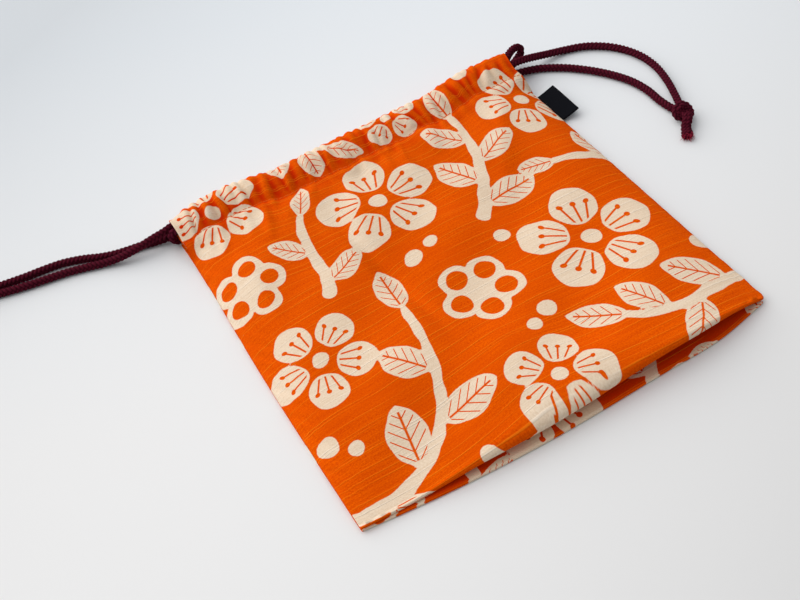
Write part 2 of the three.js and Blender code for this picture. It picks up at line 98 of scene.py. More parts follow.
# Finer shape of the cloth. A name ending in _PLACE is the middle and reach of a bulge, and one ending in
# _BULGE is its height, middle and reach.
EDGE_LIFT_PLACE = (62.0, 45.0)
EDGE_ROLL_PLACE = (-6.0, 42.0)
EDGE_ROLL_RADIUS = 3.5
EDGE_ROLL_RISE = 5.2
EDGE_ROLL_STRETCH = 1.2
EDGE_ROLL_PUSH = 1.5
EDGE_DROP = 3.2
EDGE_DROP_X = (40.0, 90.0)
EDGE_FREE = 25.0
FRONT_BULGE = (1.8, 66.0, 28.0)
BACK_BULGE = (2.6, 76.0, 26.0)
SINK_BULGE = (2.6, -30.0, 48.0)
TUCKED_MOUTH_BULGE = (2.0, -HALF_WIDTH, 14.0)
MOUTH_PINCH_BULGE = (2.6, 93.0, 11.0)
BACK_STITCH_BULGE = (0.4, STITCH_Y, 1.2)
SEAM_ROLL = 2.4
SEAM_FRONT_Z = 1.95
SEAM_BACK_Z = 1.1
SEAM_FRONT_FADE = 30.0
SEAM_BACK_FADE = 20.0
SEWN_END = (-5.0, 3.0)
LEAF_INSET = 1.4
PANEL_FULLNESS = 0.9
STITCH_GROOVE_BULGE = (0.08, 0.0, 0.8)
STITCH_LIFT = -0.5
STITCH_LIFT_REACH = 26.0
STITCH_PULL = 0.5
STITCH_PULL_REACH = 4.0
CREASE_X = -28.5
CREASE_LEAN = -0.12
CREASE_Y = 6.0
CREASE_REACH = 48.0
CREASE_DEPTH = 1.7
CREASE_WIDTH = 4.0
LIP_RISE = 0.9
LIP_X_PLACE = (25.0, 40.0)
LIP_Y_PLACE = (BOTTOM_Y + 11.0, 10.0)
PUCKER = 0.3
PUCKER_LENGTH = 11.0
PUCKER_DRIFT = 0.9
PUCKER_DRIFT_LENGTH = 37.0
PUCKER_X = (90.0, 100.0)
CASING_SWELL = 1.2
CASING_SLOPE = 14.0
CASING_SLOPE_LEAD = 1.0
MOUTH_SCALLOP = 0.6
SCALLOP_FALL = 2.0
MOUTH_CORNER_RADIUS = 3.0
BOTTOM_CORNER_RADIUS = 1.2

# Soft waves: the seam's sway as shares, lengths and phases, and the panel's undulation as shares, lengths
# along X and Y, and phases
SEAM_SWAY = 0.5
SEAM_SWAY_PLACE = (STITCH_Y, 13.0)
SEAM_SWAY_WAVES = [(1.0, 33.0, 0.4), (0.7, 19.0, 2.0), (0.6, 11.0, 4.0)]
UNDULATION = 0.9
UNDULATION_WAVES = [(1.0, 86.0, 120.0, 0.5), (0.7, -70.0, 62.0, 2.0), (0.45, 37.0, 51.0, 4.0)]

# Pleats of the casings: their distance, how far each may stray in shares of it, where they are highest,
# and the least and most of half length, height and lean
CASING_PLEATS = (6.4, 0.27, 97.0, (8.0, 15.0), (0.6, 2.4), (-0.35, 0.35))
MOUTH_PLEATS = (4.8, 0.25, 106.0, (4.0, 10.0), (0.4, 1.3), (-0.2, 0.2))
PLEATS_BEYOND = 2
PLEAT_AT_MOUTH = 0.45
PLEAT_ROUNDNESS = 0.75
BACK_PLEATS = 0.5

# Wrinkles: how many, where their middles lie along Y, and the least and most of half length, half
# width, height and lean
SEAM_WRINKLES = (40, (74.0, 91.0), (6.0, 17.0), (1.6, 3.4), (0.25, 0.95), (-0.4, 0.4))
LONG_WRINKLES = (15, (30.0, 84.0), (14.0, 36.0), (4.0, 8.0), (0.35, 1.05), (-0.6, 0.6))
WRINKLE_STRAY = (0.1, 0.9)

# Gathers are calmer at both ends of the mouth, and higher towards the left one
CALM_END = 0.7
CALM_END_X = (88.0, 105.0)
LEFT_END_X = (40.0, 100.0)
LEFT_WRINKLES = 0.5
LEFT_PLEATS = 0.4

# Seeds of the random draws
CASING_SEED = 1
SEAM_SEED = 2
LONG_SEED = 3
BACK_SEED = 4
MOUTH_SEED = 5

# Painted shade: a darker, redder colour between the pleats, over the front casing and more at its left end,
# and inside the gusset
RECESS_REACH = 5
RECESS_DEPTH = 1.0
CASING_PAINTED_SHADE = 0.4
LEFT_CASING_PAINTED_SHADE = 0.22
LEFT_CASING_SHADE_X = (-92.0, -40.0)
CASING_SHADE_RISE = (-14.0, 2.0)
CASING_SHADE_FALL = (11.0, 19.0)
GUSSET_PAINTED_SHADE = 0.8

# Mesh density of the cloth: columns across it, and rows along its stretches and round its folds
EDGE_COLUMNS = [105.0, 104.6, 104.1, 103.5, 102.8, 102.0, 101.0]
INNER_COLUMNS = 219
INNER_REACH = 99.9
HEM_ROWS = [2, 4, 5]
BACK_PANEL_ROWS = [62]
LEAF_ROWS = [22]
FRONT_PANEL_ROWS = [98, 30]
FRONT_PANEL_SHARES = [0.0, 0.86, 1.0]
FRONT_CASING_ROWS = [7, 12]
BACK_MOUTH_ROWS = 7
BACK_EDGE_ROWS = 5
TUCK_ROWS = 3
FRONT_EDGE_ROWS = 15
FRONT_MOUTH_ROWS = 9
INNER_FACE_STEP = 3

# Routes of the drawcords' free tails and of the loop at the right end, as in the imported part
LEFT_FRONT_TAIL = [
    (-202.1, 123.65, 2.1), (-196, 122.2, 2.1), (-190, 120.4, 2.1), (-180, 118, 2.1),
    (-170, 116, 2.1), (-160, 113.9, 2.1), (-150, 110.8, 2.1), (-142, 107.8, 2.4),
    (-135, 105.2, 3.4), (-128, 103.3, 5), (-121, 102.2, 6.8), (-114, 101.7, 8.3), (-108, 101.5, 9.2),
]
RIGHT_LOOP = [
    (106.3, 105, 12.3), (110.6, 107.8, 12), (114.9, 109.9, 10.6), (117, 109.8, 8.8),
    (116.5, 108.6, 7), (113.3, 107.4, 5.2), (109.3, 106, 3.9),
]
LEFT_BACK_TAIL = [
    (-108, 103.8, 2.6), (-114, 105.6, 2.2), (-121, 107.6, 2.1), (-128, 108.9, 2.1),
    (-135, 110.7, 2.1), (-142, 113.6, 2.1), (-150, 118, 2.1), (-160, 121.9, 2.1),
    (-170, 123.7, 2.1), (-180, 124.9, 2.1), (-190, 126.6, 2.1), (-196, 127.8, 2.1),
    (-202.1, 128.35, 2.1),
]
RIGHT_FRONT_TAIL = [
    (159.2, 20.9, 2.1), (161.5, 26.5, 2.1), (164, 33, 2.1), (167.3, 43, 2.1), (169.7, 55, 2.1),
    (169.4, 66.5, 2.1), (166, 77.5, 2.1), (160, 86.8, 2.1), (150.5, 95, 2.1), (140, 99.6, 2.1),
    (134, 100.6, 2.9), (128, 100.8, 4.3), (122, 100.2, 6.4), (116, 99.2, 8.7), (110, 98.2, 10.7),
]
RIGHT_BACK_TAIL = [
    (108, 98.7, 2.7), (114, 97.6, 2.2), (120, 95, 2.1), (130, 87.5, 2.1), (139.5, 76.8, 2.1),
    (147, 65.2, 2.1), (152, 53.5, 2.1), (153.9, 42, 2.1), (153.7, 31, 2.1), (154.6, 21.9, 2.1),
]
LEFT_FRONT_DEPTH = 5.2
LEFT_BACK_DEPTH = 4.4
RIGHT_FRONT_DEPTH = 10.2
RIGHT_BACK_DEPTH = 9.2
RIGHT_BEND_DEPTH = 9.9
CASING_RUN_X = 102.0
CASING_STATIONS = [0, 0.08, 0.17, 0.28, 0.39, 0.5, 0.61, 0.72, 0.83, 0.92, 1]
LEFT_BEND_ANGLES = [30, 60, 90, 120, 150]

# Braid of the cords: strands each way round, length of a crossing, depth of the relief and its mean level
BRAID_STRANDS = 4
BRAID_PITCH = 2.25
BRAID_DEPTH = 0.62
BRAID_LEVEL = 0.75
STRAND_ROUNDNESS = 0.8
STRAND_END_ROUNDNESS = 0.45
CORD_SIDES = 56
RING_STEP = 0.3
HIDDEN_RING_STEP = 1.5
HIDDEN_X = 99.0
HIDDEN_BLEND = 3.0
CURVE_POINTS = 12

# Knots, in their own frame: tails come in at +Y and the cut ends leave at -Y
LEFT_KNOT = (-210.0, 126.0)
LEFT_KNOT_TURN = -90.0
LEFT_STUB_TURN = 0.0
RIGHT_KNOT = (155.3, 14.0)
RIGHT_KNOT_TURN = -12.0
RIGHT_STUB_TURN = -17.0
KNOT_CENTRE_Z = 4.5
KNOT_CORD_RADIUS = 1.65
KNOT_TAPER = 6.0
KNOT_SPREAD = 1.0
KNOT_EXIT = 13
KNOT_POINTS = 8
KNOT_FIRST = 6
KNOT_STEP = 4
STUB_CORD_RADIUS = 1.75
STUB_TAPER = (15.0, 10.0)
STUB_FLARE = 0.4
STUB_FLARE_TAPER = (6.0, 2.0)
STUB_SPREAD = 0.9
STUB_TURN_Y = (3.0, 10.0)
KNOT_PATH = [
    (0, 8.5, -2.3), (-0.5, 5.2, -1.6), (-0.7, 2.3, -0.4), (-0.3, -0.5, 0.2), (1.0, -2.5, -0.5),
    (2.8, -2.1, -1.0), (3.4, 0, -0.2), (2.7, 1.9, 1.4), (0.5, 2.6, 2.6), (-2.0, 1.7, 1.9),
    (-3.2, 0.3, 0), (-2.5, -0.7, -1.7), (-0.7, -0.9, -2.3), (0.9, -1.6, -1.3), (0.8, -3.9, 0.5),
    (0.4, -6.8, 0.2), (0.1, -10.0, -1.8), (0, -14.0, -2.4), (-0.3, -18.0, -2.4),
]

# Loose fibres at the cut ends
FRAY_FIBRES = 44
FRAY_LENGTH = (1.0, 2.4)
FRAY_RADIUS = 0.11
FRAY_FILL = 0.9
FRAY_ROOT = 0.6
FRAY_FAN = 0.55
FRAY_STRAY = 0.3
FRAY_BEND = 0.35
FRAY_TIP = 0.45
FRAY_POINTS = 5
FRAY_SIDES = 4
LEFT_FRAY_SEED = 11
RIGHT_FRAY_SEED = 12

# Label in the right seam
LABEL_BELOW_MOUTH = 44.5
LABEL_LENGTH = 24.0
LABEL_REACH = 11.0
LABEL_LEAF = 0.3
LABEL_ROOT = 1.4
LABEL_TILT = 15.0
LABEL_CURL = 0.5
LABEL_CURL_WAVE = (31.0, 0.6)
LABEL_ROWS = 41
LABEL_LEAF_POINTS = 22
LABEL_FOLD_POINTS = 9
TOUCH_GAP = 0.3

# Thread of the casing seams
STITCH_PITCH = 2.9
STITCH_END = 0.03
STITCH_ARCH = 2.4
STITCH_SUNK = 1.5
STITCH_POINTS = 7
THREAD_RADIUS = 0.17
THREAD_SIDES = 6

# Print: blossoms as place, radius and turn; sprigs as four curve points, number of leaves and their length;
# berries as place and radius. Its edges wobble in waves, as share, lean, length and length of the drift.
PRINT_REPEAT = 232.0
PRINT_EDGE_WOBBLE = 0.3
PRINT_EDGE_WAVES = [(1.0, 0.6, 17.0, 23.0), (0.6, -0.4, 11.0, 29.0)]
BLOSSOM, LEAF, PLAIN = 0.0, 1.0, 2.0
PLAIN_MOTIF = (0.0, 0.5, PLAIN)
FAR_AWAY = 1e3
BLOSSOMS = [
    (-10.0, 46.0, 35.0, 12.0), (62.0, -34.0, 37.0, 5.0), (-80.0, -24.0, 29.0, 40.0),
    (92.0, 66.0, 29.0, 30.0), (-84.0, 88.0, 29.0, 25.0), (2.0, -100.0, 27.0, 60.0),
    (23.0, 98.0, 20.0, 10.0),
]
OUTLINE_BLOSSOMS = [(2.0, -34.0, 22.0, 50.0), (-89.0, 34.0, 20.0, 0.0)]
SPRIGS = [
    ((-108, -104), (-64, -108), (-36, -84), (-34, -22), 4, 37.0),
    ((28, 6), (40, 24), (52, 46), (52, 78), 4, 33.0),
    ((108, -90), (84, -94), (62, -98), (46, -86), 3, 34.0),
    ((-58, 8), (-50, 24), (-58, 44), (-48, 62), 2, 26.0),
    ((-44, 122), (-34, 112), (-26, 106), (-16, 98), 3, 28.0),
    ((110, 8), (98, 16), (90, 14), (78, 18), 1, 26.0),
]
BERRIES = [
    (-14, 2, 5.0), (-2, 6, 3.8),
    (20, -62, 4.6), (10, -68, 3.8), (-98, -66, 5.0), (-88, -74, 3.8), (104, -64, 5.0),
    (28, -10, 4.2), (74, 100, 5.0),
]

# Motifs of the print, in shares of a blossom's radius or a leaf's length. Half widths and the stalk are in
# millimetres, the leaves' places in shares of the stem, and their turn in degrees.
PETALS = 5
PETAL_PLACE = 0.6
PETAL_SIZE = 0.335
PETAL_NARROWING = 1.04
EYE_SIZE = 0.14
RIM_PLACE = 0.56
RIM_SIZE = 0.4
RIM_EYE_SIZE = 0.27
RIM_HALF_WIDTH = 1.7
STEM_POINTS = 25
STEM_HALF_WIDTHS = (3.6, 2.0)
LEAF_FIRST = 0.14
LEAF_SPAN = 0.8
LEAF_TURN = 52.0
LEAF_TAPER = 0.25
LEAF_STALK = 1.2
LEAF_WIDTH = 0.27
TIP_LEAF_LENGTH = 0.8
TIP_LEAF_WIDTH = 0.2

# Camera found from the corners of the pouch: place, and its right, down and forward directions
CAMERA_PLACE = (-163.745, -368.086, 427.750)
CAMERA_RIGHT = (0.85993, -0.48974, -0.14378)
CAMERA_DOWN = (-0.45371, -0.60442, -0.65485)
CAMERA_FORWARD = (0.23380, 0.62836, -0.74196)
CAMERA_LENS = 54.0
CAMERA_SENSOR = 36.0

# Soft light from a wide window behind and to the left, and the room's own light, brightest on that side
WINDOW_DIRECTION = (-0.6, 1.0, 0.85)
WINDOW_STRENGTH = 2.3
WINDOW_SPREAD = 1.5
WINDOW_COLOUR = (1.0, 0.985, 0.965)
ROOM_DIRECTION = (-0.2, 0.83, 0.52)
ROOM_STRENGTH = (0.06, 0.86)
ROOM_COLOUR = (0.95, 0.97, 1.0, 1.0)

# Table: half its side, and its tone, with places in metres. Light is painted into its tone: neutral near
# the camera, cooler far off, and a painted pool of light in a long patch, given as its two directions with
# their middle and reach, with painted shade around it.
FLOOR_HALF_SIZE = 3000.0
FLOOR_NEAR = (0.85, 0.844, 0.837, 1.0)
FLOOR_FAR = (0.79, 0.823, 0.853, 1.0)
FLOOR_FAR_DIRECTION = (0.35, 0.94, 0.0)
FLOOR_FAR_REACH = (-0.06, 0.25)
FLOOR_LIGHT_POOL = [((0.83, 0.56, 0.0), 0.0, 0.6), ((-0.56, 0.83, 0.0), 0.07, 0.27)]
FLOOR_LIGHT_POOL_FALLOFF = 0.17
BLACK = (0.0, 0.0, 0.0, 1.0)


def lerp(a, b, t):
    return a + (b - a) * t


def smoothstep(value, low, high):
    t = np.clip((value - low) / (high - low), 0.0, 1.0)
    return t * t * (3.0 - 2.0 * t)


def bulge(place, amount, middle, reach):
    return amount * np.exp(-((place - middle) / reach) ** 2)


def wave(place, length, phase=0.0):
    return np.sin(2.0 * math.pi * place / length + phase)


def unit(vector):
    return vector / np.linalg.norm(vector, axis=-1, keepdims=True)


def srgb(*values):
    """Linear colour with full alpha from 8-bit sRGB values."""
    shares = [value / 255.0 for value in values]
    return (*(s / 12.92 if s <= 0.04045 else ((s + 0.055) / 1.055) ** 2.4 for s in shares), 1.0)


# Shape of the cloth's middle surface

def crown(x):
    return 1.0 - np.minimum(1.0, np.abs(x) / HALF_WIDTH) ** 4


def half_width(y, side):
    return HALF_WIDTH - bulge(y, np.where(side < 0, WAIST_LEFT, WAIST_RIGHT), SEAM_TOP_Y, WAIST_REACH)


def front_cord_z(x):
    end = np.where(x < 0, MOUTH_GAP_LEFT, MOUTH_GAP_RIGHT)
    return 1.5 * CASING_THICKNESS + lerp(end, MOUTH_GAP, crown(x))


def edge_lift(x):
    return bulge(x, 1.0, *EDGE_LIFT_PLACE)


def edge_roll(x):
    """Share of the soft roll in the middle of the front lower edge."""
    return bulge(x, 1.0, *EDGE_ROLL_PLACE)


def edge_height(x):
    drop = EDGE_DROP * smoothstep(-x, *EDGE_DROP_X)
    return EDGE_HEIGHT + EDGE_LIFT * edge_lift(x) + EDGE_ROLL_RISE * edge_roll(x) - drop


def fullness(x):
    """Share of the front panel's height, a little fuller towards the seams than the crown."""
    return crown(x) * (1.0 + PANEL_FULLNESS * (x / HALF_WIDTH) ** 4)


def front_edge_z(x):
    return lerp(SIDE_LEVELS[3], edge_height(x), fullness(x))


def front_fold_radius(x):
    middle = lerp(FLAT_FOLD_RADIUS, FRONT_FOLD_RADIUS, edge_lift(x)) + EDGE_ROLL_RADIUS * edge_roll(x)
    return lerp(LAYER_PITCH / 2, middle, crown(x))


def front_panel_z(x, y):
    stitch_z = front_cord_z(x) + LAYER_PITCH / 2
    middle = lerp(edge_height(x), PANEL_HEIGHT, smoothstep(y, BOTTOM_Y, SLOPE_TOP_Y))
    panel = lerp(SIDE_LEVELS[3], middle, fullness(x))
    side_rise = smoothstep(y, SEAM_TOP_Y, STITCH_Y)
    middle_rise = smoothstep(y, 0.0, STITCH_Y)
    return lerp(panel, stitch_z, lerp(side_rise, middle_rise, crown(x)))


def front_y(x, y):
    sag = 1.0 - smoothstep(np.abs(x - MOUTH_SAG_X), MOUTH_SAG_FLAT, MOUTH_SAG_REACH)
    setback = MOUTH_SETBACK * crown(x) + MOUTH_SAG * sag
    return y - setback * smoothstep(y, 0.0, STITCH_Y)


def mouth_tuck(x, y):
    """How far the left end of the front mouth draws in."""
    return bulge(x, *TUCKED_MOUTH_BULGE) * smoothstep(y, STITCH_Y, MOUTH_FOLD_Y)


def bow(x, amount):
    return amount * (1.0 - (x / HALF_WIDTH) ** 2)


# Gathers and soft waves of the cloth

def left_end(x):
    return smoothstep(-x, *LEFT_END_X)


def wrinkles(x, y, kind, seed):
    """Height of uneven ridges side by side, higher towards the left end of the mouth."""
    count, middles, lengths, widths, heights, leans = kind
    draw = np.random.default_rng(seed)
    relief = 0.0
    for index in range(count):
        place = BAG_WIDTH * (index + draw.uniform(*WRINKLE_STRAY)) / count - HALF_WIDTH
        middle = draw.uniform(*middles)
        length = draw.uniform(*lengths)
        width = draw.uniform(*widths)
        height = draw.uniform(*heights) * (1.0 + LEFT_WRINKLES * left_end(place))
        across = (x - place - draw.uniform(*leans) * (y - middle)) / width
        relief = relief + height * np.exp(-across ** 2 - ((y - middle) / length) ** 4)
    return relief


def pleats(x, y, kind, seed):
    """Height of the pleats that the cords draw into a casing: round ridges at uneven distances."""
    pitch, stray, middle, lengths, heights, leans = kind
    draw = np.random.default_rng(seed)
    number = np.arange(int(BAG_WIDTH / pitch) + 2 * PLEATS_BEYOND + 1)
    places = pitch * (number - PLEATS_BEYOND + draw.uniform(-stray, stray, len(number))) - HALF_WIDTH
    lean = draw.uniform(*leans, len(number))
    height = draw.uniform(*heights, len(number)) * np.gradient(places) / pitch
    length = draw.uniform(*lengths, len(number))
    x, y = np.broadcast_arrays(x, y)
    phase = np.interp(x - np.interp(x, places, lean) * (y - middle), places, number)
    ridge = (0.5 + 0.5 * np.cos(2.0 * math.pi * phase)) ** PLEAT_ROUNDNESS
    fading = np.exp(-((y - middle) / np.interp(phase, number, length)) ** 4)
    return np.interp(phase, number, height) * ridge * fading * (1.0 + LEFT_PLEATS * left_end(x))


def seam_sway(x, y):
    """Shift along Y of the front casing's seam, which the pleats pull to and fro."""
    sway = sum(share * wave(x, length, phase) for share, length, phase in SEAM_SWAY_WAVES)
    return crown(x) * sway * bulge(y, SEAM_SWAY, *SEAM_SWAY_PLACE)


def calm(x):
    """Share of the gathers' height, less at the two ends of the mouth."""
    return 1.0 - CALM_END * smoothstep(np.abs(x), *CALM_END_X)


def gathers(x, y):
    """Height of the pleats and wrinkles about the front casing, pulled in at its seam."""
    share = lerp(1.0, PLEAT_AT_MOUTH, smoothstep(y, STITCH_Y + CASING_SLOPE / 2, MOUTH_FOLD_Y))
    relief = share * pleats(x, y, CASING_PLEATS, CASING_SEED) + pleats(x, y, MOUTH_PLEATS, MOUTH_SEED)
    relief = relief + wrinkles(x, y, SEAM_WRINKLES, SEAM_SEED) + wrinkles(x, y, LONG_WRINKLES, LONG_SEED)
    away = np.abs(y - STITCH_Y)
    pull = lerp(STITCH_PULL, 1.0, smoothstep(away, 0.0, STITCH_PULL_REACH))
    return calm(x) * relief * pull - bulge(away, *STITCH_GROOVE_BULGE)


def undulation(x, y):
    return UNDULATION * sum(
        share * wave(x / x_length + y / y_length, 1.0, phase)
        for share, x_length, y_length, phase in UNDULATION_WAVES
    )


def panel_relief(x, y):
    """Fine height of the front panel over its plain shape."""
    free = crown(x) * smoothstep(y, BOTTOM_Y, BOTTOM_Y + EDGE_FREE)
    fading = 1.0 - smoothstep(y, SEAM_TOP_Y, STITCH_Y)
    pucker = PUCKER * wave(y, PUCKER_LENGTH, PUCKER_DRIFT * wave(y, PUCKER_DRIFT_LENGTH) + x)
    pucker = pucker * smoothstep(np.abs(x), *PUCKER_X)
    aside = (x - CREASE_X - CREASE_LEAN * y) / CREASE_WIDTH
    crease = CREASE_DEPTH * np.exp(-aside ** 2 - ((y - CREASE_Y) / CREASE_REACH) ** 4)
    lip = bulge(x, LIP_RISE, *LIP_X_PLACE) * bulge(y, 1.0, *LIP_Y_PLACE)
    broad = fading * (free * undulation(x, y) + pucker) + crown(x) * (lip - bulge(y, *SINK_BULGE))
    at_seam = STITCH_LIFT * np.exp(-np.maximum(0.0, STITCH_Y - y) / STITCH_LIFT_REACH)
    return gathers(x, y) + at_seam + broad - crease


def rounding(place, end, radius):
    """Share by which a quarter circle has turned where it nears the end on either side."""
    near = np.clip((np.abs(place) - end + radius) / radius, 0.0, 1.0)
    return 1.0 - np.sqrt(1.0 - near * near)


def to_seam(x, y, z, seam_z, fade):
    """Height z, turned to the side seam where that is sewn, and fading out in the gusset."""
    sewn = 1.0 - smoothstep(y - SEAM_TOP_Y, *SEWN_END)
    turned_in = rounding(x, HALF_WIDTH, SEAM_ROLL) * sewn * smoothstep(y, TUCK_Y - fade, TUCK_Y)
    return lerp(z, seam_z, turned_in)


def spread(stops, counts):
    """Column of places from stop to stop, with the given number of steps between them."""
    parts = [np.linspace(a, b, n, endpoint=False) for a, b, n in zip(stops, stops[1:], counts)]
    return np.concatenate([*parts, [stops[-1]]])[:, None]


def fold(y, z, radius, start, end, count, stretch=1.0):
    """Rows of a rounded fold about (y, z), from one angle to the other, without its ends."""
    angles = np.radians(np.linspace(start, end, count + 2)[1:-1])[:, None]
    return y + stretch * radius * np.cos(angles), z + radius * np.sin(angles)


def cloth_rows(x):
    """Rows of the middle surface from the back hem to the front hem: name, y and z of each stretch."""
    # Back casing: from its hem over the cords to the mouth, round the mouth edge
    hem_stops = [STITCH_Y - HEM_ALLOWANCE, STITCH_Y, STITCH_Y + CASING_RAMP, MOUTH_FOLD_Y]
    y = spread(hem_stops, HEM_ROWS)
    rise = smoothstep(y, STITCH_Y, STITCH_Y + CASING_RAMP)
    z = lerp(SIDE_LEVELS[1], BACK_CORD_Z + CASING_RADIUS, rise)
    z = z + BACK_PLEATS * rise * crown(x) * pleats(x, y, CASING_PLEATS, BACK_SEED)
    yield "back_inner", y, z
    scallop = MOUTH_SCALLOP * np.exp(-SCALLOP_FALL * pleats(x, MOUTH_Y, MOUTH_PLEATS, BACK_SEED))
    back_mouth = MOUTH_FOLD_Y - scallop
    yield "back_mouth", *fold(back_mouth, BACK_CORD_Z, CASING_RADIUS, 90, -90, BACK_MOUTH_ROWS)

    # Back panel, flat on the table
    back_radius = lerp(LAYER_PITCH / 2, BACK_FOLD_RADIUS, crown(x))
    back_edge = BOTTOM_Y - bow(x, BACK_BOW) - bulge(x, *BACK_BULGE) + HALF_CLOTH + back_radius
    y = lerp(back_mouth, back_edge, spread([0.0, 1.0], BACK_PANEL_ROWS))
    z = HALF_CLOTH + bulge(y, *BACK_STITCH_BULGE)
    yield "back_panel", y, to_seam(x, y, z, SEAM_BACK_Z, SEAM_BACK_FADE)

    # Gusset: round the back edge, in to the tuck and out again to the front edge
    back_z = HALF_CLOTH + back_radius
    yield "back_edge", *fold(back_edge, back_z, back_radius, 270, 90, BACK_EDGE_ROWS)
    tuck_radius = lerp(LAYER_PITCH / 2, TUCK_FOLD_RADIUS, crown(x))
    tuck_z = lerp(SIDE_LEVELS[1], TUCK_HEIGHT, crown(x))
    share = spread([0.0, 1.0], LEAF_ROWS)
    lower_z = lerp(HALF_CLOTH + 2 * back_radius, tuck_z, share)
    yield "lower_leaf", lerp(back_edge, TUCK_Y, share), lower_z
    yield "tuck", *fold(TUCK_Y, tuck_z + tuck_radius, tuck_radius, -90, 90, TUCK_ROWS)
    radius = front_fold_radius(x)
    stretch = 1.0 + EDGE_ROLL_STRETCH * edge_roll(x)
    outermost = BOTTOM_Y - bow(x, FRONT_BOW) - bulge(x, *FRONT_BULGE) - EDGE_ROLL_PUSH * edge_roll(x)
    front_edge = outermost + HALF_CLOTH + stretch * radius
    upper_z = lerp(tuck_z + 2 * tuck_radius, front_edge_z(x) - 2 * radius, share)
    yield "upper_leaf", lerp(TUCK_Y, front_edge, share), upper_z
    front_z = front_edge_z(x) - radius
    yield "front_edge", *fold(front_edge, front_z, radius, 270, 90, FRONT_EDGE_ROWS, stretch)

    # Front panel up to the casing seam
    y = lerp(front_edge, STITCH_Y, spread(FRONT_PANEL_SHARES, FRONT_PANEL_ROWS))
    z = to_seam(x, y, front_panel_z(x, y) + panel_relief(x, y), SEAM_FRONT_Z, SEAM_FRONT_FADE)
    yield "front_panel", front_y(x, y) + seam_sway(x, y), z

    # Front casing: over the cords to the mouth, round its edge and back inside to the hem
    y = spread(hem_stops[1:], FRONT_CASING_ROWS)[1:]
    rise = smoothstep(y, STITCH_Y - CASING_SLOPE_LEAD, STITCH_Y + CASING_SLOPE)
    swell = CASING_SWELL * calm(x)
    top = lerp(LAYER_PITCH / 2 + STITCH_LIFT, CASING_RADIUS + swell, rise)
    half_lift = (gathers(x, MOUTH_FOLD_Y) + swell) / 2
    drawn = half_lift + MOUTH_SCALLOP * np.exp(-SCALLOP_FALL * gathers(x, MOUTH_Y))
    y_top = front_y(x, y) + seam_sway(x, y) - mouth_tuck(x, y)
    y_top = y_top - drawn * smoothstep(y, STITCH_Y, MOUTH_FOLD_Y)
    yield "front_casing", y_top, front_cord_z(x) + top + gathers(x, y)
    mouth_z = front_cord_z(x) + half_lift
    mouth_radius = CASING_RADIUS + half_lift
    yield "front_mouth", *fold(y_top[-1], mouth_z, mouth_radius, 90, -90, FRONT_MOUTH_ROWS)
    y = spread(hem_stops[::-1], HEM_ROWS[::-1])
    rise = smoothstep(y, STITCH_Y, STITCH_Y + CASING_RAMP)
    hem = front_panel_z(x, y) + STITCH_LIFT - LAYER_PITCH
    casing = front_cord_z(x) - lerp(LAYER_PITCH / 2 - STITCH_LIFT, CASING_RADIUS, rise)
    z = np.where(y > STITCH_Y, casing, hem)
    yield "front_inner", front_y(x, y) - mouth_tuck(x, y), z


def corner_inset(x, y):
    """How far the side edges draw in to round the four corners and at the right end of the mouth."""
    radius = np.where(y > 0, MOUTH_CORNER_RADIUS, BOTTOM_CORNER_RADIUS)
    return radius * rounding(y, MOUTH_Y, radius) + bulge(y, *MOUTH_PINCH_BULGE) * (x > 0)


# The print: cream blossoms, sprigs and berries on orange. Each motif gives its signed distance, the place
# along and across it, and its kind.

def capsule(x, y, a, b, width_a, width_b):
    """Distance to a line from a to b whose half width goes from width_a to width_b."""
    ax, ay = a
    bx, by = b
    along = ((x - ax) * (bx - ax) + (y - ay) * (by - ay)) / ((bx - ax) ** 2 + (by - ay) ** 2)
    along = np.clip(along, 0.0, 1.0)
    return np.hypot(x - lerp(ax, bx, along), y - lerp(ay, by, along)) - lerp(width_a, width_b, along)


def petals(x, y, blossom):
    """Place in one petal's own frame, after turning every petal onto the first."""
    cx, cy, radius, turn = blossom
    out = np.hypot(x - cx, y - cy)
    angle = np.arctan2(y - cy, x - cx) - math.radians(turn)
    sector = 2.0 * math.pi / PETALS
    angle = (angle + sector / 2.0) % sector - sector / 2.0
    return out * np.cos(angle), out * np.sin(angle), out, radius


def blossom_field(x, y, blossom):
    px, py, out, radius = petals(x, y, blossom)
    petal = np.hypot(px - PETAL_PLACE * radius, py * PETAL_NARROWING) - PETAL_SIZE * radius
    return np.minimum(petal, out - EYE_SIZE * radius), px / radius, py / radius, BLOSSOM


def outline_blossom_field(x, y, blossom):
    px, py, out, radius = petals(x, y, blossom)
    petal = np.hypot(px - RIM_PLACE * radius, py) - RIM_SIZE * radius
    rim = np.abs(petal + RIM_HALF_WIDTH) - RIM_HALF_WIDTH
    return np.minimum(rim, out - RIM_EYE_SIZE * radius), *PLAIN_MOTIF


def leaf_field(x, y, base, tip, width):
    """Pointed leaf from base to tip."""
    length = math.hypot(tip[0] - base[0], tip[1] - base[1])
    ux, uy = (tip[0] - base[0]) / length, (tip[1] - base[1]) / length
    along = (x - base[0]) * ux + (y - base[1]) * uy - length / 2
    across = (y - base[1]) * ux - (x - base[0]) * uy
    circle = (length * length / 4 + width * width) / (2 * width)
    body = np.hypot(np.abs(across) + circle - width, along) - circle
    return body, along / length + 0.5, across / length, LEAF


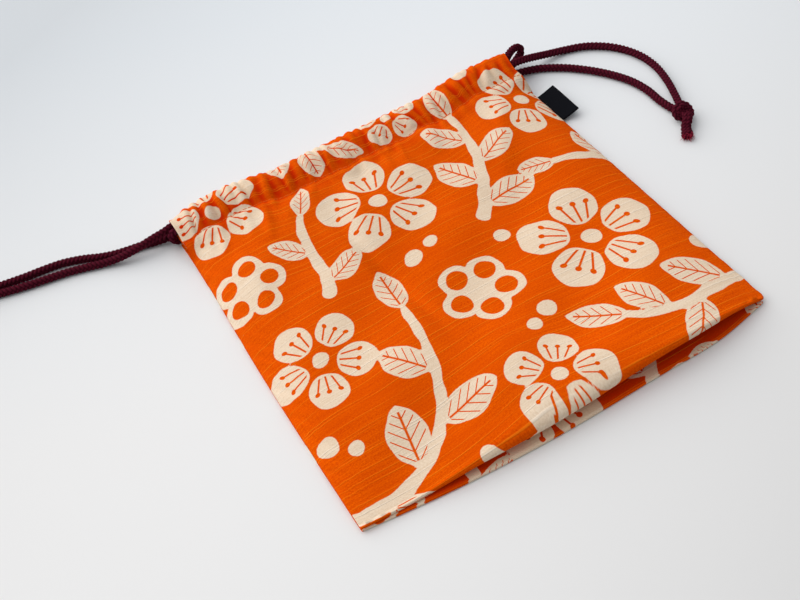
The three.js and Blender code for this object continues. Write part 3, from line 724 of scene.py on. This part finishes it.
def sprig_parts(x, y, sprig):
    """Curved stem with leaves on alternate sides and one at its tip."""
    *control, leaves, leaf_length = sprig
    p0, p1, p2, p3 = np.array(control, float)
    t = np.linspace(0.0, 1.0, STEM_POINTS)[:, None]
    line = (1 - t) ** 3 * p0 + 3 * t * (1 - t) ** 2 * p1 + 3 * t * t * (1 - t) * p2 + t ** 3 * p3
    widths = np.linspace(*STEM_HALF_WIDTHS, STEM_POINTS)

    def leaf(place, ahead, turn, stalk, size, width):
        heading = math.atan2(ahead[1], ahead[0]) + math.radians(turn)
        out = np.array([math.cos(heading), math.sin(heading)])
        return leaf_field(x, y, place + stalk * out, place + size * out, width)

    for a, b, width_a, width_b in zip(line, line[1:], widths, widths[1:]):
        yield capsule(x, y, a, b, width_a, width_b), *PLAIN_MOTIF
    for index in range(leaves):
        at = LEAF_FIRST + LEAF_SPAN * index / leaves
        k = int(round(at * (STEM_POINTS - 1)))
        size = leaf_length * (1.0 - LEAF_TAPER * at)
        turn = LEAF_TURN if index % 2 else -LEAF_TURN
        yield leaf(line[k], line[k + 1] - line[k], turn, LEAF_STALK, size, LEAF_WIDTH * size)
    tip_length = TIP_LEAF_LENGTH * leaf_length
    yield leaf(line[-1], line[-1] - line[-2], 0.0, 0.0, tip_length, TIP_LEAF_WIDTH * leaf_length)


def print_field(x, y):
    """Distance to the print, and the place along and across its nearest motif, with the motif's kind."""
    best = np.stack([np.full_like(x, value) for value in (FAR_AWAY, *PLAIN_MOTIF)])

    def add(distance, along, across, kind):
        nearer = distance < best[0]
        best[:, nearer] = np.stack(np.broadcast_arrays(distance, along, across, kind))[:, nearer]

    for repeat in (-1, 0, 1):
        height = (y + PRINT_REPEAT / 2) % PRINT_REPEAT - PRINT_REPEAT / 2 + repeat * PRINT_REPEAT
        for blossom in BLOSSOMS:
            add(*blossom_field(x, height, blossom))
        for blossom in OUTLINE_BLOSSOMS:
            add(*outline_blossom_field(x, height, blossom))
        for sprig in SPRIGS:
            for part in sprig_parts(x, height, sprig):
                add(*part)
        for cx, cy, radius in BERRIES:
            add(np.hypot(x - cx, height - cy) - radius, *PLAIN_MOTIF)
    hand_cut = sum(
        share * wave(a + lean * b, length, wave(b, drift))
        for (a, b), (share, lean, length, drift) in zip(((x, y), (y, x)), PRINT_EDGE_WAVES)
    )
    return best[0] + PRINT_EDGE_WOBBLE * hand_cut, best[1:]


# Meshes

def make_object(name, verts, faces, material, smooth=True):
    mesh = bpy.data.meshes.new(name)
    mesh.from_pydata((np.asarray(verts) * MM).tolist(), [], faces)
    mesh.materials.append(material)
    mesh.polygons.foreach_set("use_smooth", [smooth] * len(mesh.polygons))
    mesh.update()
    obj = bpy.data.objects.new(name, mesh)
    bpy.context.scene.collection.objects.link(obj)
    return obj


def set_float(obj, name, values):
    attribute = obj.data.attributes.new(name, "FLOAT", "POINT")
    attribute.data.foreach_set("value", np.asarray(values, np.float32))


def set_flat(obj, per_vertex):
    """UV map of each vertex's place on the flat cloth or cord, in metres."""
    layer = obj.data.uv_layers.new(name="flat")
    corners = np.empty(len(obj.data.loops), np.int32)
    obj.data.loops.foreach_get("vertex_index", corners)
    layer.data.foreach_set("uv", np.asarray(per_vertex * MM, np.float32)[corners].ravel())


def grid_faces(rows, cols, start=0, flip=False):
    a = start + (cols * np.arange(rows - 1)[:, None] + np.arange(cols - 1)).ravel()
    quads = np.stack([a, a + 1, a + cols + 1, a + cols], axis=1)
    return (quads[:, ::-1] if flip else quads).tolist()


def grid_normals(points):
    return unit(np.cross(np.gradient(points, axis=1), np.gradient(points, axis=0)))


def recess(z):
    """How far each point of a grid lies below its neighbours along its row."""
    columns_wide = 2 * RECESS_REACH + 1
    padded = np.pad(z, ((0, 0), (RECESS_REACH, RECESS_REACH)), mode="edge")
    return sum(padded[:, k:k + z.shape[1]] for k in range(columns_wide)) / columns_wide - z


def painted_shade_depth(x, z, from_seam, first):
    """Share of painted shade, a darker and redder colour, between the pleats, on the casing and in the
    gusset.
    """
    casing = smoothstep(from_seam, *CASING_SHADE_RISE) * (1.0 - smoothstep(from_seam, *CASING_SHADE_FALL))
    tone = CASING_PAINTED_SHADE + LEFT_CASING_PAINTED_SHADE * (1.0 - smoothstep(x, *LEFT_CASING_SHADE_X))
    depth = np.clip(tone + recess(z) / RECESS_DEPTH, 0.0, 1.0) * casing[:, None]
    depth[:first["front_panel"]] = 0.0
    depth[first["lower_leaf"]:first["front_edge"]] = GUSSET_PAINTED_SHADE
    return depth


def cloth_grid():
    """Grid of the middle surface, its outward normals, flat places, painted shade and first row of each
    stretch.
    """
    edge = np.array(EDGE_COLUMNS)
    x = np.concatenate([-edge, np.linspace(-INNER_REACH, INNER_REACH, INNER_COLUMNS), edge[::-1]])
    y = np.empty((0, len(x)))
    z = y
    first = {}
    for name, more_y, more_z in cloth_rows(x):
        first[name] = len(y)
        y = np.concatenate([y, np.broadcast_to(more_y, (len(more_y), len(x)))])
        z = np.concatenate([z, np.broadcast_to(more_z, (len(more_y), len(x)))])
    inset = np.zeros((len(y), 1))
    inset[first["lower_leaf"]:first["front_edge"]] = LEAF_INSET
    width = half_width(y, x) - inset - corner_inset(x, y)
    points = np.stack([x / HALF_WIDTH * width, y, z], axis=2)
    steps = np.linalg.norm(np.diff(points, axis=0), axis=2)
    length = np.concatenate([[0.0], np.cumsum(np.median(steps, axis=1))])
    panel = y[first["front_panel"]:first["front_casing"], 0]
    middle = first["front_panel"] + int(np.argmin(np.abs(panel)))
    up = np.broadcast_to((length - length[middle])[:, None], y.shape)
    flat = np.stack([np.broadcast_to(x, y.shape), up], axis=2)
    painted_shade = painted_shade_depth(x, z, length - length[first["front_casing"]], first)
    return points, grid_normals(points), flat, painted_shade, first


def closed_sheet(points, normals, half, step):
    """Closed sheet about a grid of points. The inner face takes every step-th row."""
    rows, cols = points.shape[:2]
    kept = sorted(set(range(0, rows, step)) | {rows - 1})
    outer = (points + half * normals).reshape(-1, 3)
    inner = (points - half * normals)[kept].reshape(-1, 3)
    start = rows * cols
    faces = grid_faces(rows, cols)
    faces += grid_faces(len(kept), cols, start, flip=True)
    end = cols - 1
    for k, (a, b) in enumerate(zip(kept, kept[1:])):
        here, ahead = start + k * cols, start + (k + 1) * cols
        faces.append([*(r * cols for r in range(a, b + 1)), ahead, here])
        faces.append([*(r * cols + end for r in range(b, a - 1, -1)), here + end, ahead + end])
    last_outer = start - cols
    last_inner = start + (len(kept) - 1) * cols
    for c in range(end):
        faces.append([c + 1, c, start + c, start + c + 1])
        faces.append([last_outer + c, last_outer + c + 1, last_inner + c + 1, last_inner + c])
    return np.concatenate([outer, inner]), faces, kept


def make_cloth(grid, material):
    points, normals, flat, painted_shade, _ = grid
    verts, faces, kept = closed_sheet(points, normals, HALF_CLOTH, INNER_FACE_STEP)
    cloth = make_object("cloth", verts, faces, material)
    flat = np.concatenate([flat.reshape(-1, 2), flat[kept].reshape(-1, 2)])
    set_flat(cloth, flat)
    distance, motif = print_field(flat[:, 0], flat[:, 1])
    set_float(cloth, "print", distance)
    # Painted shade between the pleats, over the front casing and inside the gusset
    set_float(cloth, "painted_shade", np.concatenate([painted_shade.ravel(), painted_shade[kept].ravel()]))
    for name, values in zip(("motif_along", "motif_across", "motif_kind"), motif):
        set_float(cloth, name, values)
    return cloth


def make_label(material):
    """Tape folded double: its two leaves come out of the seam and its fold is the outer edge."""
    half = (TOUCH_GAP + LABEL_LEAF) / 2
    leaf = np.linspace(-LABEL_ROOT, LABEL_REACH - TOUCH_GAP / 2 - LABEL_LEAF, LABEL_LEAF_POINTS)
    angles = np.radians(np.linspace(-90.0, 90.0, LABEL_FOLD_POINTS))[1:-1]
    out = np.concatenate([leaf, leaf[-1] + half * np.cos(angles), leaf[::-1]])
    up = np.concatenate([np.full_like(leaf, -half), half * np.sin(angles), np.full_like(leaf, half)])
    along = np.linspace(-LABEL_LENGTH / 2, LABEL_LENGTH / 2, LABEL_ROWS)
    out, along = np.meshgrid(out, along)
    free = np.maximum(0.0, out) / LABEL_REACH
    lift = up + LABEL_CURL * free ** 2 * (1.0 + 0.5 * wave(along, *LABEL_CURL_WAVE))
    tilt = math.radians(LABEL_TILT) * (out > 0)
    label_y = MOUTH_Y - LABEL_BELOW_MOUTH
    seam_x = float(half_width(label_y - LABEL_LENGTH / 2, 1)) + TOUCH_GAP
    seam_z = (SIDE_LEVELS[0] + SIDE_LEVELS[3]) / 2
    x = seam_x + out * np.cos(tilt) - lift * np.sin(tilt)
    z = seam_z + out * np.sin(tilt) + lift * np.cos(tilt)
    points = np.stack([x, label_y + along, z], axis=2)
    verts, faces, _ = closed_sheet(points, grid_normals(points), -LABEL_LEAF / 2, 1)
    label = make_object("woven_label", verts, [face[::-1] for face in faces], material)
    flat = np.stack([out, along], axis=2).reshape(-1, 2)
    set_flat(label, np.concatenate([flat, flat]))
    return label


def ring_points(line, turns, reach):
    """Points round a line, ring by ring, at the given turns and distances from it."""
    side, up = carried_frames(line)
    angle = 2.0 * math.pi * turns[None, :, None]
    ring = np.cos(angle) * side[:, None, :] + np.sin(angle) * up[:, None, :]
    return (line[:, None, :] + reach[:, :, None] * ring).reshape(-1, 3)


def ring_faces(rings, sides, start=0):
    """Faces of a closed tube of rings, with its points counted from start."""
    ring = start + sides * np.arange(rings)[:, None] + np.arange(sides)
    following = np.roll(ring, -1, axis=1)
    quads = np.stack([ring[:-1], following[:-1], following[1:], ring[1:]], axis=2)
    return [*quads.reshape(-1, 4).tolist(), ring[0, ::-1].tolist(), ring[-1].tolist()]


def make_tubes(name, lines, radii, sides, material):
    """One object of many thin tubes, such as stitches or loose fibres."""
    turns = np.arange(sides) / sides
    verts, faces = [], []
    for index, line in enumerate(lines):
        verts.append(ring_points(line, turns, radii[:, None]))
        faces += ring_faces(len(radii), sides, index * len(radii) * sides)
    return make_object(name, np.concatenate(verts), faces, material)


def make_stitches(name, row, normals, material):
    """Running stitches along a row of the cloth's outer face, each dipping into it at both ends."""
    length = along_line(row)
    t = np.linspace(0.0, 1.0, STITCH_POINTS)
    rise = THREAD_RADIUS * (STITCH_ARCH * np.sin(math.pi * t) ** 0.5 - STITCH_SUNK)
    lines = []
    for index in range(int(length[-1] / STITCH_PITCH)):
        stations = (index + lerp(STITCH_END, 1.0 - STITCH_END, t)) * STITCH_PITCH
        out = at_stations(stations, length, normals)
        lines.append(at_stations(stations, length, row) + rise[:, None] * out)
    return make_tubes(name, lines, np.full(STITCH_POINTS, THREAD_RADIUS), THREAD_SIDES, material)


# Cords

def catmull_rom(points, per_segment):
    """Centripetal curve through the points."""
    p = np.array(points, float)
    p = np.concatenate([[2 * p[0] - p[1]], p, [2 * p[-1] - p[-2]]])
    t = np.linspace(0.0, 1.0, per_segment, endpoint=False)[:, None]
    out = []
    for a, b, c, d in zip(p, p[1:], p[2:], p[3:]):
        t0, t1, t2 = (max(1e-4, np.linalg.norm(v) ** 0.5) for v in (b - a, c - b, d - c))
        m1 = ((b - a) / t0 - (c - a) / (t0 + t1) + (c - b) / t1) * t1
        m2 = ((c - b) / t1 - (d - b) / (t1 + t2) + (d - c) / t2) * t1
        square = -3 * b + 3 * c - 2 * m1 - m2
        out.append(b + m1 * t + square * t ** 2 + (2 * b - 2 * c + m1 + m2) * t ** 3)
    return np.concatenate([*out, p[-2:-1]])


def along_line(line):
    return np.concatenate([[0.0], np.cumsum(np.linalg.norm(np.diff(line, axis=0), axis=1))])


def at_stations(stations, length, values):
    return np.stack([np.interp(stations, length, column) for column in values.T], axis=1)


def carried_frames(line):
    """Two directions across the line at each point, carried along it without twist."""
    tangent = unit(np.gradient(line, axis=0))
    sides = [unit(np.cross(tangent[0], (0.0, 0.0, 1.0)))]
    for direction in tangent[1:]:
        sides.append(unit(sides[-1] - direction * np.dot(sides[-1], direction)))
    side = np.array(sides)
    return side, np.cross(tangent, side)


def braid_height(turn, place):
    """Height of a two-over-two braid, 0 in the grooves and 1 on the strands; turn is in whole turns."""
    a = BRAID_STRANDS * turn + place / BRAID_PITCH
    b = -BRAID_STRANDS * turn + place / BRAID_PITCH
    i, j = np.floor(a), np.floor(b)
    along_a = (b - i + 2.0) % 4.0 - 2.0
    along_b = (a - j - 3.0 + 2.0) % 4.0 - 2.0

    def strand(across, along):
        end = np.clip(np.cos(0.5 * math.pi * np.clip(along, -1.0, 1.0)), 0.0, 1.0)
        return np.sin(math.pi * across) ** STRAND_ROUNDNESS * end ** STRAND_END_ROUNDNESS

    return np.maximum(strand(a - i, along_a), strand(b - j, along_b))


def braided_tube(name, line, stations, relief, radius, material):
    """Closed braided cord along a line, with the braid's share and the girth at each station."""
    centres = at_stations(stations, along_line(line), line)
    turns = np.arange(CORD_SIDES) / CORD_SIDES
    height = braid_height(turns[None, :], stations[:, None])
    reach = radius[:, None] + BRAID_DEPTH * (height - BRAID_LEVEL) * relief[:, None]
    verts = ring_points(centres, turns, reach)
    cord = make_object(name, verts, ring_faces(len(stations), CORD_SIDES), material)
    set_float(cord, "braid", lerp(BRAID_LEVEL, height, relief[:, None]).ravel())
    around = np.broadcast_to(turns[None, :], height.shape) * math.pi * CORD_DIAMETER
    lengthwise = np.broadcast_to(stations[:, None], height.shape)
    set_flat(cord, np.stack([around, lengthwise], axis=2).reshape(-1, 2))
    return cord, centres


def make_cord(name, points, material):
    """Braided cord, its rings close together where it shows and wide apart inside the casings."""
    line = catmull_rom(points, CURVE_POINTS)
    length = along_line(line)
    places = [0.0]
    while places[-1] < length[-1]:
        x = np.interp(places[-1], length, line[:, 0])
        places.append(places[-1] + (HIDDEN_RING_STEP if abs(x) < HIDDEN_X else RING_STEP))
    places[-1] = length[-1]
    stations = np.array(places)
    shown = smoothstep(np.abs(np.interp(stations, length, line[:, 0])), HIDDEN_X - HIDDEN_BLEND, HIDDEN_X)
    radius = np.full(len(stations), CORD_DIAMETER / 2)
    cord, centres = braided_tube(name, line, stations, shown, radius, material)
    return cord, centres, float(along_line(centres)[-1])


def casing_run(start_x, depth_in, depth_out, front):
    """Points of a cord in the front or the back casing, from start_x to the opposite end."""
    share = np.array(CASING_STATIONS)
    x = lerp(start_x, -start_x, share)
    y = MOUTH_Y - lerp(depth_in, depth_out, share)
    z = np.full_like(x, BACK_CORD_Z)
    return np.stack([x, front_y(x, y), front_cord_z(x)] if front else [x, y, z], axis=1)


def left_bend():
    """Points of the right cord's bend from the front casing to the back one."""
    back_y = MOUTH_Y - RIGHT_BEND_DEPTH
    radius = (front_cord_z(-CASING_RUN_X) - BACK_CORD_Z) / 2
    angle = np.radians(LEFT_BEND_ANGLES)
    rise = (1.0 + np.cos(angle)) / 2
    y = lerp(back_y, front_y(-CASING_RUN_X, back_y), rise)
    return np.stack([-CASING_RUN_X - radius * np.sin(angle), y, BACK_CORD_Z + 2 * radius * rise], axis=1)


def turned(points, degrees):
    cos, sin = math.cos(math.radians(degrees)), math.sin(math.radians(degrees))
    x, y, z = np.array(points, float).T
    return np.stack([cos * x - sin * y, sin * x + cos * y, z], axis=1)


def make_knot(name, place, turn, stub_turn, ends, material):
    """Overhand knot of the two tails, from the cords' last points to the cut ends of the stub."""
    path = np.array(KNOT_PATH, float)
    leaving = (np.arange(len(path)) > KNOT_EXIT) * smoothstep(-path[:, 1], *STUB_TURN_Y)
    path = lerp(path, turned(path, stub_turn), leaving[:, None])
    smooth = catmull_rom(path, KNOT_POINTS)
    leaving = smoothstep(np.arange(len(smooth)) / KNOT_POINTS, KNOT_EXIT, KNOT_EXIT + 2)
    apart = lerp(KNOT_SPREAD, STUB_SPREAD, leaving)
    tangent = np.gradient(smooth, axis=0)
    level = unit(np.stack([-tangent[:, 1], tangent[:, 0], np.zeros(len(smooth))], axis=1))
    strands, tips = [], []
    for side, end in zip((1.0, -1.0), ends):
        placed = turned(smooth + side * apart[:, None] * level, turn) + (*place, KNOT_CENTRE_Z)
        line = catmull_rom(np.concatenate([[end], placed[KNOT_FIRST::KNOT_STEP]]), KNOT_POINTS)
        total = along_line(line)[-1]
        stations = np.arange(0.0, total - max(0.0, side), RING_STEP)
        to_end = stations - total
        radius = lerp(CORD_DIAMETER / 2, KNOT_CORD_RADIUS, smoothstep(stations, 0.0, KNOT_TAPER))
        radius = lerp(radius, STUB_CORD_RADIUS, smoothstep(to_end, *np.negative(STUB_TAPER)))
        radius += STUB_FLARE * smoothstep(to_end, *np.negative(STUB_FLARE_TAPER))
        relief = np.ones(len(stations))
        strand, centres = braided_tube(f"{name}_{len(strands)}", line, stations, relief, radius, material)
        strands.append(strand)
        tips.append((centres[-1], unit(centres[-1] - centres[-4])))
    return strands, tips


def make_fray(name, tips, seed, material):
    """Loose fibres at the cut ends of a knot's stub."""
    draw = np.random.default_rng(seed)
    share = np.linspace(0.0, 1.0, FRAY_POINTS)[:, None]
    lines = []
    for tip, heading in tips:
        for _ in range(FRAY_FIBRES):
            aside = draw.normal(size=3)
            aside = unit(aside - heading * np.dot(aside, heading))
            aside *= (STUB_CORD_RADIUS + STUB_FLARE) * math.sqrt(draw.uniform(0.0, FRAY_FILL))
            reach = (draw.uniform(*FRAY_LENGTH) + FRAY_ROOT) * heading + FRAY_FAN * aside
            reach = reach + FRAY_STRAY * draw.normal(size=3)
            start = tip + aside - FRAY_ROOT * heading
            line = start + share * reach + FRAY_BEND * share ** 2 * draw.normal(size=3)
            line[:, 2] = np.maximum(line[:, 2], 2 * FRAY_RADIUS)
            lines.append(line)
    radii = FRAY_RADIUS * np.linspace(1.0, FRAY_TIP, FRAY_POINTS)
    return make_tubes(name, lines, radii, FRAY_SIDES, material)


# Materials

def add_node(tree, kind, inputs=(), **settings):
    """New node with its settings, and its inputs set to a constant or linked from a value."""
    made = tree.nodes.new(kind)
    for key, setting in settings.items():
        setattr(made, key, setting)
    for key, given in dict(inputs).items():
        if isinstance(given, Value):
            tree.links.new(given.socket, made.inputs[key])
        else:
            made.inputs[key].default_value = given
    return made


def math_node(operation):
    """Method of a value that joins it with another one in a math node."""
    def method(self, other=0.0):
        return Value(self.tree, "ShaderNodeMath", 0, {0: self, 1: other}, operation=operation)
    return method


class Value:
    """Output of a shader node. Arithmetic and methods add the nodes that they stand for."""

    def __init__(self, tree, kind, output, inputs=(), **settings):
        self.tree = tree
        self.socket = add_node(tree, kind, inputs, **settings).outputs[output]

    __add__ = math_node("ADD")
    __sub__ = math_node("SUBTRACT")
    __mul__ = math_node("MULTIPLY")
    __truediv__ = math_node("DIVIDE")
    __abs__ = math_node("ABSOLUTE")
    minimum = math_node("MINIMUM")
    maximum = math_node("MAXIMUM")
    root = math_node("SQRT")
    fraction = math_node("FRACT")
    below = math_node("LESS_THAN")
    equals = math_node("COMPARE")

    def dot(self, direction):
        inputs = {0: self, 1: direction}
        return Value(self.tree, "ShaderNodeVectorMath", "Value", inputs, operation="DOT_PRODUCT")

    def ramp(self, low, high, at_low=0.0, at_high=1.0):
        inputs = {"Value": self, "From Min": low, "From Max": high, "To Min": at_low, "To Max": at_high}
        return Value(self.tree, "ShaderNodeMapRange", "Result", inputs)

    def mix(self, a, b):
        """Colour that goes from a to b with this value as its share."""
        return Value(self.tree, "ShaderNodeMix", 2, {0: self, 6: a, 7: b}, data_type="RGBA")

    def noise(self, scale, detail=2.0, roughness=0.5):
        inputs = {"Vector": self, "Scale": scale, "Detail": detail, "Roughness": roughness}
        return Value(self.tree, "ShaderNodeTexNoise", "Fac", inputs)

    def stretched(self, across, along):
        inputs = {"Vector": self, "Scale": (across, along, 1.0)}
        return Value(self.tree, "ShaderNodeMapping", "Vector", inputs)


def new_material(name):
    material = bpy.data.materials.new(name)
    material.use_nodes = True
    return material, material.node_tree


def flat_place(tree):
    return Value(tree, "ShaderNodeUVMap", "UV", uv_map="flat")


def attribute(tree, name):
    return Value(tree, "ShaderNodeAttribute", "Fac", attribute_name=name)


def set_surface(tree, colour, roughness, specular):
    shader = tree.nodes["Principled BSDF"]
    tree.links.new(colour.socket, shader.inputs["Base Color"])
    shader.inputs["Roughness"].default_value = roughness
    shader.inputs["Specular IOR Level"].default_value = specular


def set_bump(tree, height, strength, distance):
    bump = add_node(tree, "ShaderNodeBump", {"Height": height, "Strength": strength, "Distance": distance})
    tree.links.new(bump.outputs["Normal"], tree.nodes["Principled BSDF"].inputs["Normal"])


def print_lines(tree):
    """Fine lines left open in the print: stamens in the petals, and ribs and veins in the leaves."""
    along = attribute(tree, "motif_along")
    across = abs(attribute(tree, "motif_across"))
    kind = attribute(tree, "motif_kind")

    aside = across.minimum(abs(across - along * 0.3))
    line = (aside - 0.016).maximum(abs(along - 0.42) - 0.2)
    tip = along - 0.62
    stamen = line.minimum((tip * tip + aside * aside).root() - 0.042)
    stamen_cut = stamen.ramp(-0.004, 0.004, 1.0, 0.0) * kind.below(0.5)

    rib = across - 0.018
    vein = abs(((along - across) / 0.17).fraction() - 0.5) - 0.07
    leaf = rib.minimum(vein).maximum(abs(along - 0.5) - 0.38)
    return stamen_cut + leaf.ramp(-0.006, 0.006, 1.0, 0.0) * kind.equals(LEAF)


def cotton_material():
    material, tree = new_material("printed_slub_cotton")
    flat = flat_place(tree)

    # Slubs: thick weft yarns at uneven distances, each fading in and out along its way
    drift = flat.stretched(24.0, 9.0).noise(1.0, 4.0) * 0.0014
    height = Value(tree, "ShaderNodeSeparateXYZ", "Y", {0: flat}) + drift
    yarns = {"W": height, "Scale": 225.0, "Randomness": 0.9}
    yarn = Value(tree, "ShaderNodeTexVoronoi", "Distance", yarns, voronoi_dimensions="1D")
    here = flat.stretched(24.0, 260.0).noise(1.0, 1.0).ramp(0.34, 0.6)
    slub = yarn.ramp(0.03, 0.075, 1.0, 0.0) * here

    # Fine grain of the weave, and soft patches where the dye took more or less
    threads = flat.stretched(1100.0, 1700.0).noise(1.0, 2.0, 0.6)
    streaks = flat.stretched(40.0, 900.0).noise(1.0, 1.0)
    grain = threads * 0.7 + streaks * 0.3
    light = grain.ramp(0.35, 0.65)
    patch = flat.noise(45.0, 3.0).ramp(0.35, 0.65, 0.0, 0.5)

    # Print, with slightly uneven edges
    field = attribute(tree, "print") + flat.noise(900.0, 1.0).ramp(0.3, 0.7, -0.08, 0.08)
    inside = field.ramp(-1.5, -1.1, 1.0, 0.0)
    printed = field.ramp(-0.16, 0.16, 1.0, 0.0) - print_lines(tree) * inside

    # Painted shade: orange and cream go darker and redder between the pleats, over the front casing and in
    # the gusset
    painted_shade = attribute(tree, "painted_shade")
    orange = light.mix(srgb(208, 68, 0), srgb(241, 98, 0))
    orange = patch.mix(orange, srgb(219, 76, 0))
    orange = (painted_shade * 0.9).mix(orange, srgb(207, 40, 0))
    orange = (slub * 0.48).mix(orange, srgb(250, 134, 24))
    cream = light.mix(srgb(225, 198, 168), srgb(240, 219, 194))
    cream = (painted_shade * 0.35).mix(cream, srgb(218, 184, 146))
    cream = (slub * 0.5).mix(cream, srgb(246, 232, 214))
    set_surface(tree, printed.mix(orange, cream), 0.92, 0.02)
    set_bump(tree, slub * 0.9 + grain * 0.8, 0.6, 0.0003)
    return material


def cord_material():
    material, tree = new_material("burgundy_braid")
    flat = flat_place(tree)
    fibre = flat.stretched(4200.0, 2600.0).noise(1.0, 2.0, 0.6)
    tone = flat.noise(90.0, 2.0).ramp(0.35, 0.65, 0.0, 0.4)
    yarn = fibre.ramp(0.3, 0.7).mix(srgb(70, 13, 27), srgb(98, 28, 46))
    yarn = tone.mix(yarn, srgb(79, 15, 32))
    # Painted shade: the braid's grooves are coloured darker than its raised strands
    raised = attribute(tree, "braid").ramp(0.1, 0.75)
    set_surface(tree, raised.mix(srgb(48, 6, 17), yarn), 0.85, 0.03)
    set_bump(tree, fibre, 0.4, 0.00012)
    return material


def yarn_material(name, dark, light):
    """Plain thread or loose fibre with fine changes of tone."""
    material, tree = new_material(name)
    place = Value(tree, "ShaderNodeTexCoord", "Object")
    set_surface(tree, place.noise(2500.0, 2.0).ramp(0.35, 0.65).mix(dark, light), 0.8, 0.1)
    return material


def label_material():
    """Close woven tape: fine ribs across its length, with the picks showing as small dashes."""
    material, tree = new_material("black_woven_tape")
    flat = flat_place(tree)
    bands = {"Vector": flat, "Scale": 900.0, "Distortion": 0.4, "Detail": 1.0}
    ribs = Value(tree, "ShaderNodeTexWave", "Fac", bands, bands_direction="Y")
    picks = flat.stretched(5200.0, 2400.0).noise(1.0, 1.0)
    weave = ribs * 0.6 + picks * 0.4
    set_surface(tree, weave.ramp(0.25, 0.75).mix(srgb(6, 7, 10), srgb(18, 19, 26)), 0.75, 0.04)
    set_bump(tree, weave, 0.4, 0.00015)
    return material


# Stage

def placed(name, data, axes, place=(0.0, 0.0, 0.0)):
    """New object in the scene with the given axes, and its place in millimetres."""
    obj = bpy.data.objects.new(name, data)
    matrix = np.eye(4)
    matrix[:3, :3] = np.array(axes).T
    matrix[:3, 3] = np.array(place) * MM
    obj.matrix_world = Matrix(matrix.tolist())
    bpy.context.scene.collection.objects.link(obj)
    return obj


def make_camera():
    lens = bpy.data.cameras.new("camera")
    lens.lens = CAMERA_LENS
    lens.sensor_width = CAMERA_SENSOR
    axes = [CAMERA_RIGHT, np.negative(CAMERA_DOWN), np.negative(CAMERA_FORWARD)]
    bpy.context.scene.camera = placed("camera", lens, axes, CAMERA_PLACE)


def make_floor():
    material, tree = new_material("pale_table")
    place = Value(tree, "ShaderNodeTexCoord", "Object")
    # Painted light: cooler far off, a bright pool of light in a long patch and painted shade beyond it
    far = place.dot(FLOOR_FAR_DIRECTION).ramp(*FLOOR_FAR_REACH)
    away = 0.0
    for direction, middle, reach in FLOOR_LIGHT_POOL:
        share = (place.dot(direction) - middle) / reach
        away = share * share + away
    pool_falloff = away.ramp(0.0, 1.0, 0.0, FLOOR_LIGHT_POOL_FALLOFF)
    set_surface(tree, pool_falloff.mix(far.mix(FLOOR_NEAR, FLOOR_FAR), BLACK), 0.8, 0.1)
    size = FLOOR_HALF_SIZE
    corners = [(-size, -size, 0), (size, -size, 0), (size, size, 0), (-size, size, 0)]
    make_object("table", corners, [(0, 1, 2, 3)], material, smooth=False)


def make_lights():
    light = bpy.data.lights.new("window", "SUN")
    light.energy = WINDOW_STRENGTH
    light.angle = WINDOW_SPREAD
    light.color = WINDOW_COLOUR
    back = unit(np.array(WINDOW_DIRECTION))
    right = unit(np.cross((0.0, 0.0, 1.0), back))
    placed("window", light, [right, np.cross(back, right), back])
    world = bpy.data.worlds.new("room")
    bpy.context.scene.world = world
    world.use_nodes = True
    tree = world.node_tree
    background = tree.nodes["Background"]
    background.inputs["Color"].default_value = ROOM_COLOUR
    facing = Value(tree, "ShaderNodeTexCoord", "Generated").dot(ROOM_DIRECTION)
    tree.links.new(facing.ramp(-1.0, 1.0, *ROOM_STRENGTH).socket, background.inputs["Strength"])


bpy.context.scene.view_settings.view_transform = "Standard"
make_camera()
make_floor()
make_lights()

burgundy = cord_material()
fibre = yarn_material("red_fibre", srgb(136, 20, 44), srgb(196, 54, 82))
thread = yarn_material("orange_thread", srgb(222, 92, 22), srgb(240, 124, 50))

left_points = [
    *LEFT_FRONT_TAIL,
    *casing_run(-CASING_RUN_X, LEFT_FRONT_DEPTH, LEFT_FRONT_DEPTH, front=True),
    *RIGHT_LOOP,
    *casing_run(CASING_RUN_X, LEFT_BACK_DEPTH, LEFT_BACK_DEPTH, front=False),
    *LEFT_BACK_TAIL,
]
right_points = [
    *RIGHT_FRONT_TAIL,
    *casing_run(CASING_RUN_X, RIGHT_FRONT_DEPTH, RIGHT_BEND_DEPTH, front=True),
    *left_bend(),
    *casing_run(-CASING_RUN_X, RIGHT_BEND_DEPTH, RIGHT_BACK_DEPTH, front=False),
    *RIGHT_BACK_TAIL,
]
for side, points, place, turn, stub_turn, seed in (
    ("left", left_points, LEFT_KNOT, LEFT_KNOT_TURN, LEFT_STUB_TURN, LEFT_FRAY_SEED),
    ("right", right_points, RIGHT_KNOT, RIGHT_KNOT_TURN, RIGHT_STUB_TURN, RIGHT_FRAY_SEED),
):
    cord, line, length = make_cord(f"{side}_cord", points, burgundy)
    knot, tips = make_knot(f"{side}_cord_knot", place, turn, stub_turn, line[[0, -1]], burgundy)
    fray = make_fray(f"{side}_cord_fray", tips, seed, fibre)
    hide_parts(f"{side}_drawcord")
    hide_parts(f"{side}_knot")
    for piece in (cord, *knot, fray):
        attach(piece, "root")

grid = cloth_grid()
cloth = make_cloth(grid, cotton_material())
points, normals, _, _, first = grid
outer_face = points + HALF_CLOTH * normals
front_row = first["front_casing"] - 1
back_rows = np.arange(first["back_panel"], first["back_edge"])
back_row = back_rows[np.argmin(np.abs(points[back_rows, 0, 1] - STITCH_Y))]
stitches = [
    make_stitches(name, outer_face[row], normals[row], thread)
    for name, row in (("front_casing_stitches", front_row), ("back_casing_stitches", back_row))
]
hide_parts("bag_body")
for piece in (cloth, *stitches):
    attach(piece, "root")

label = make_label(label_material())
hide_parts("side_label")
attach(label, "root")
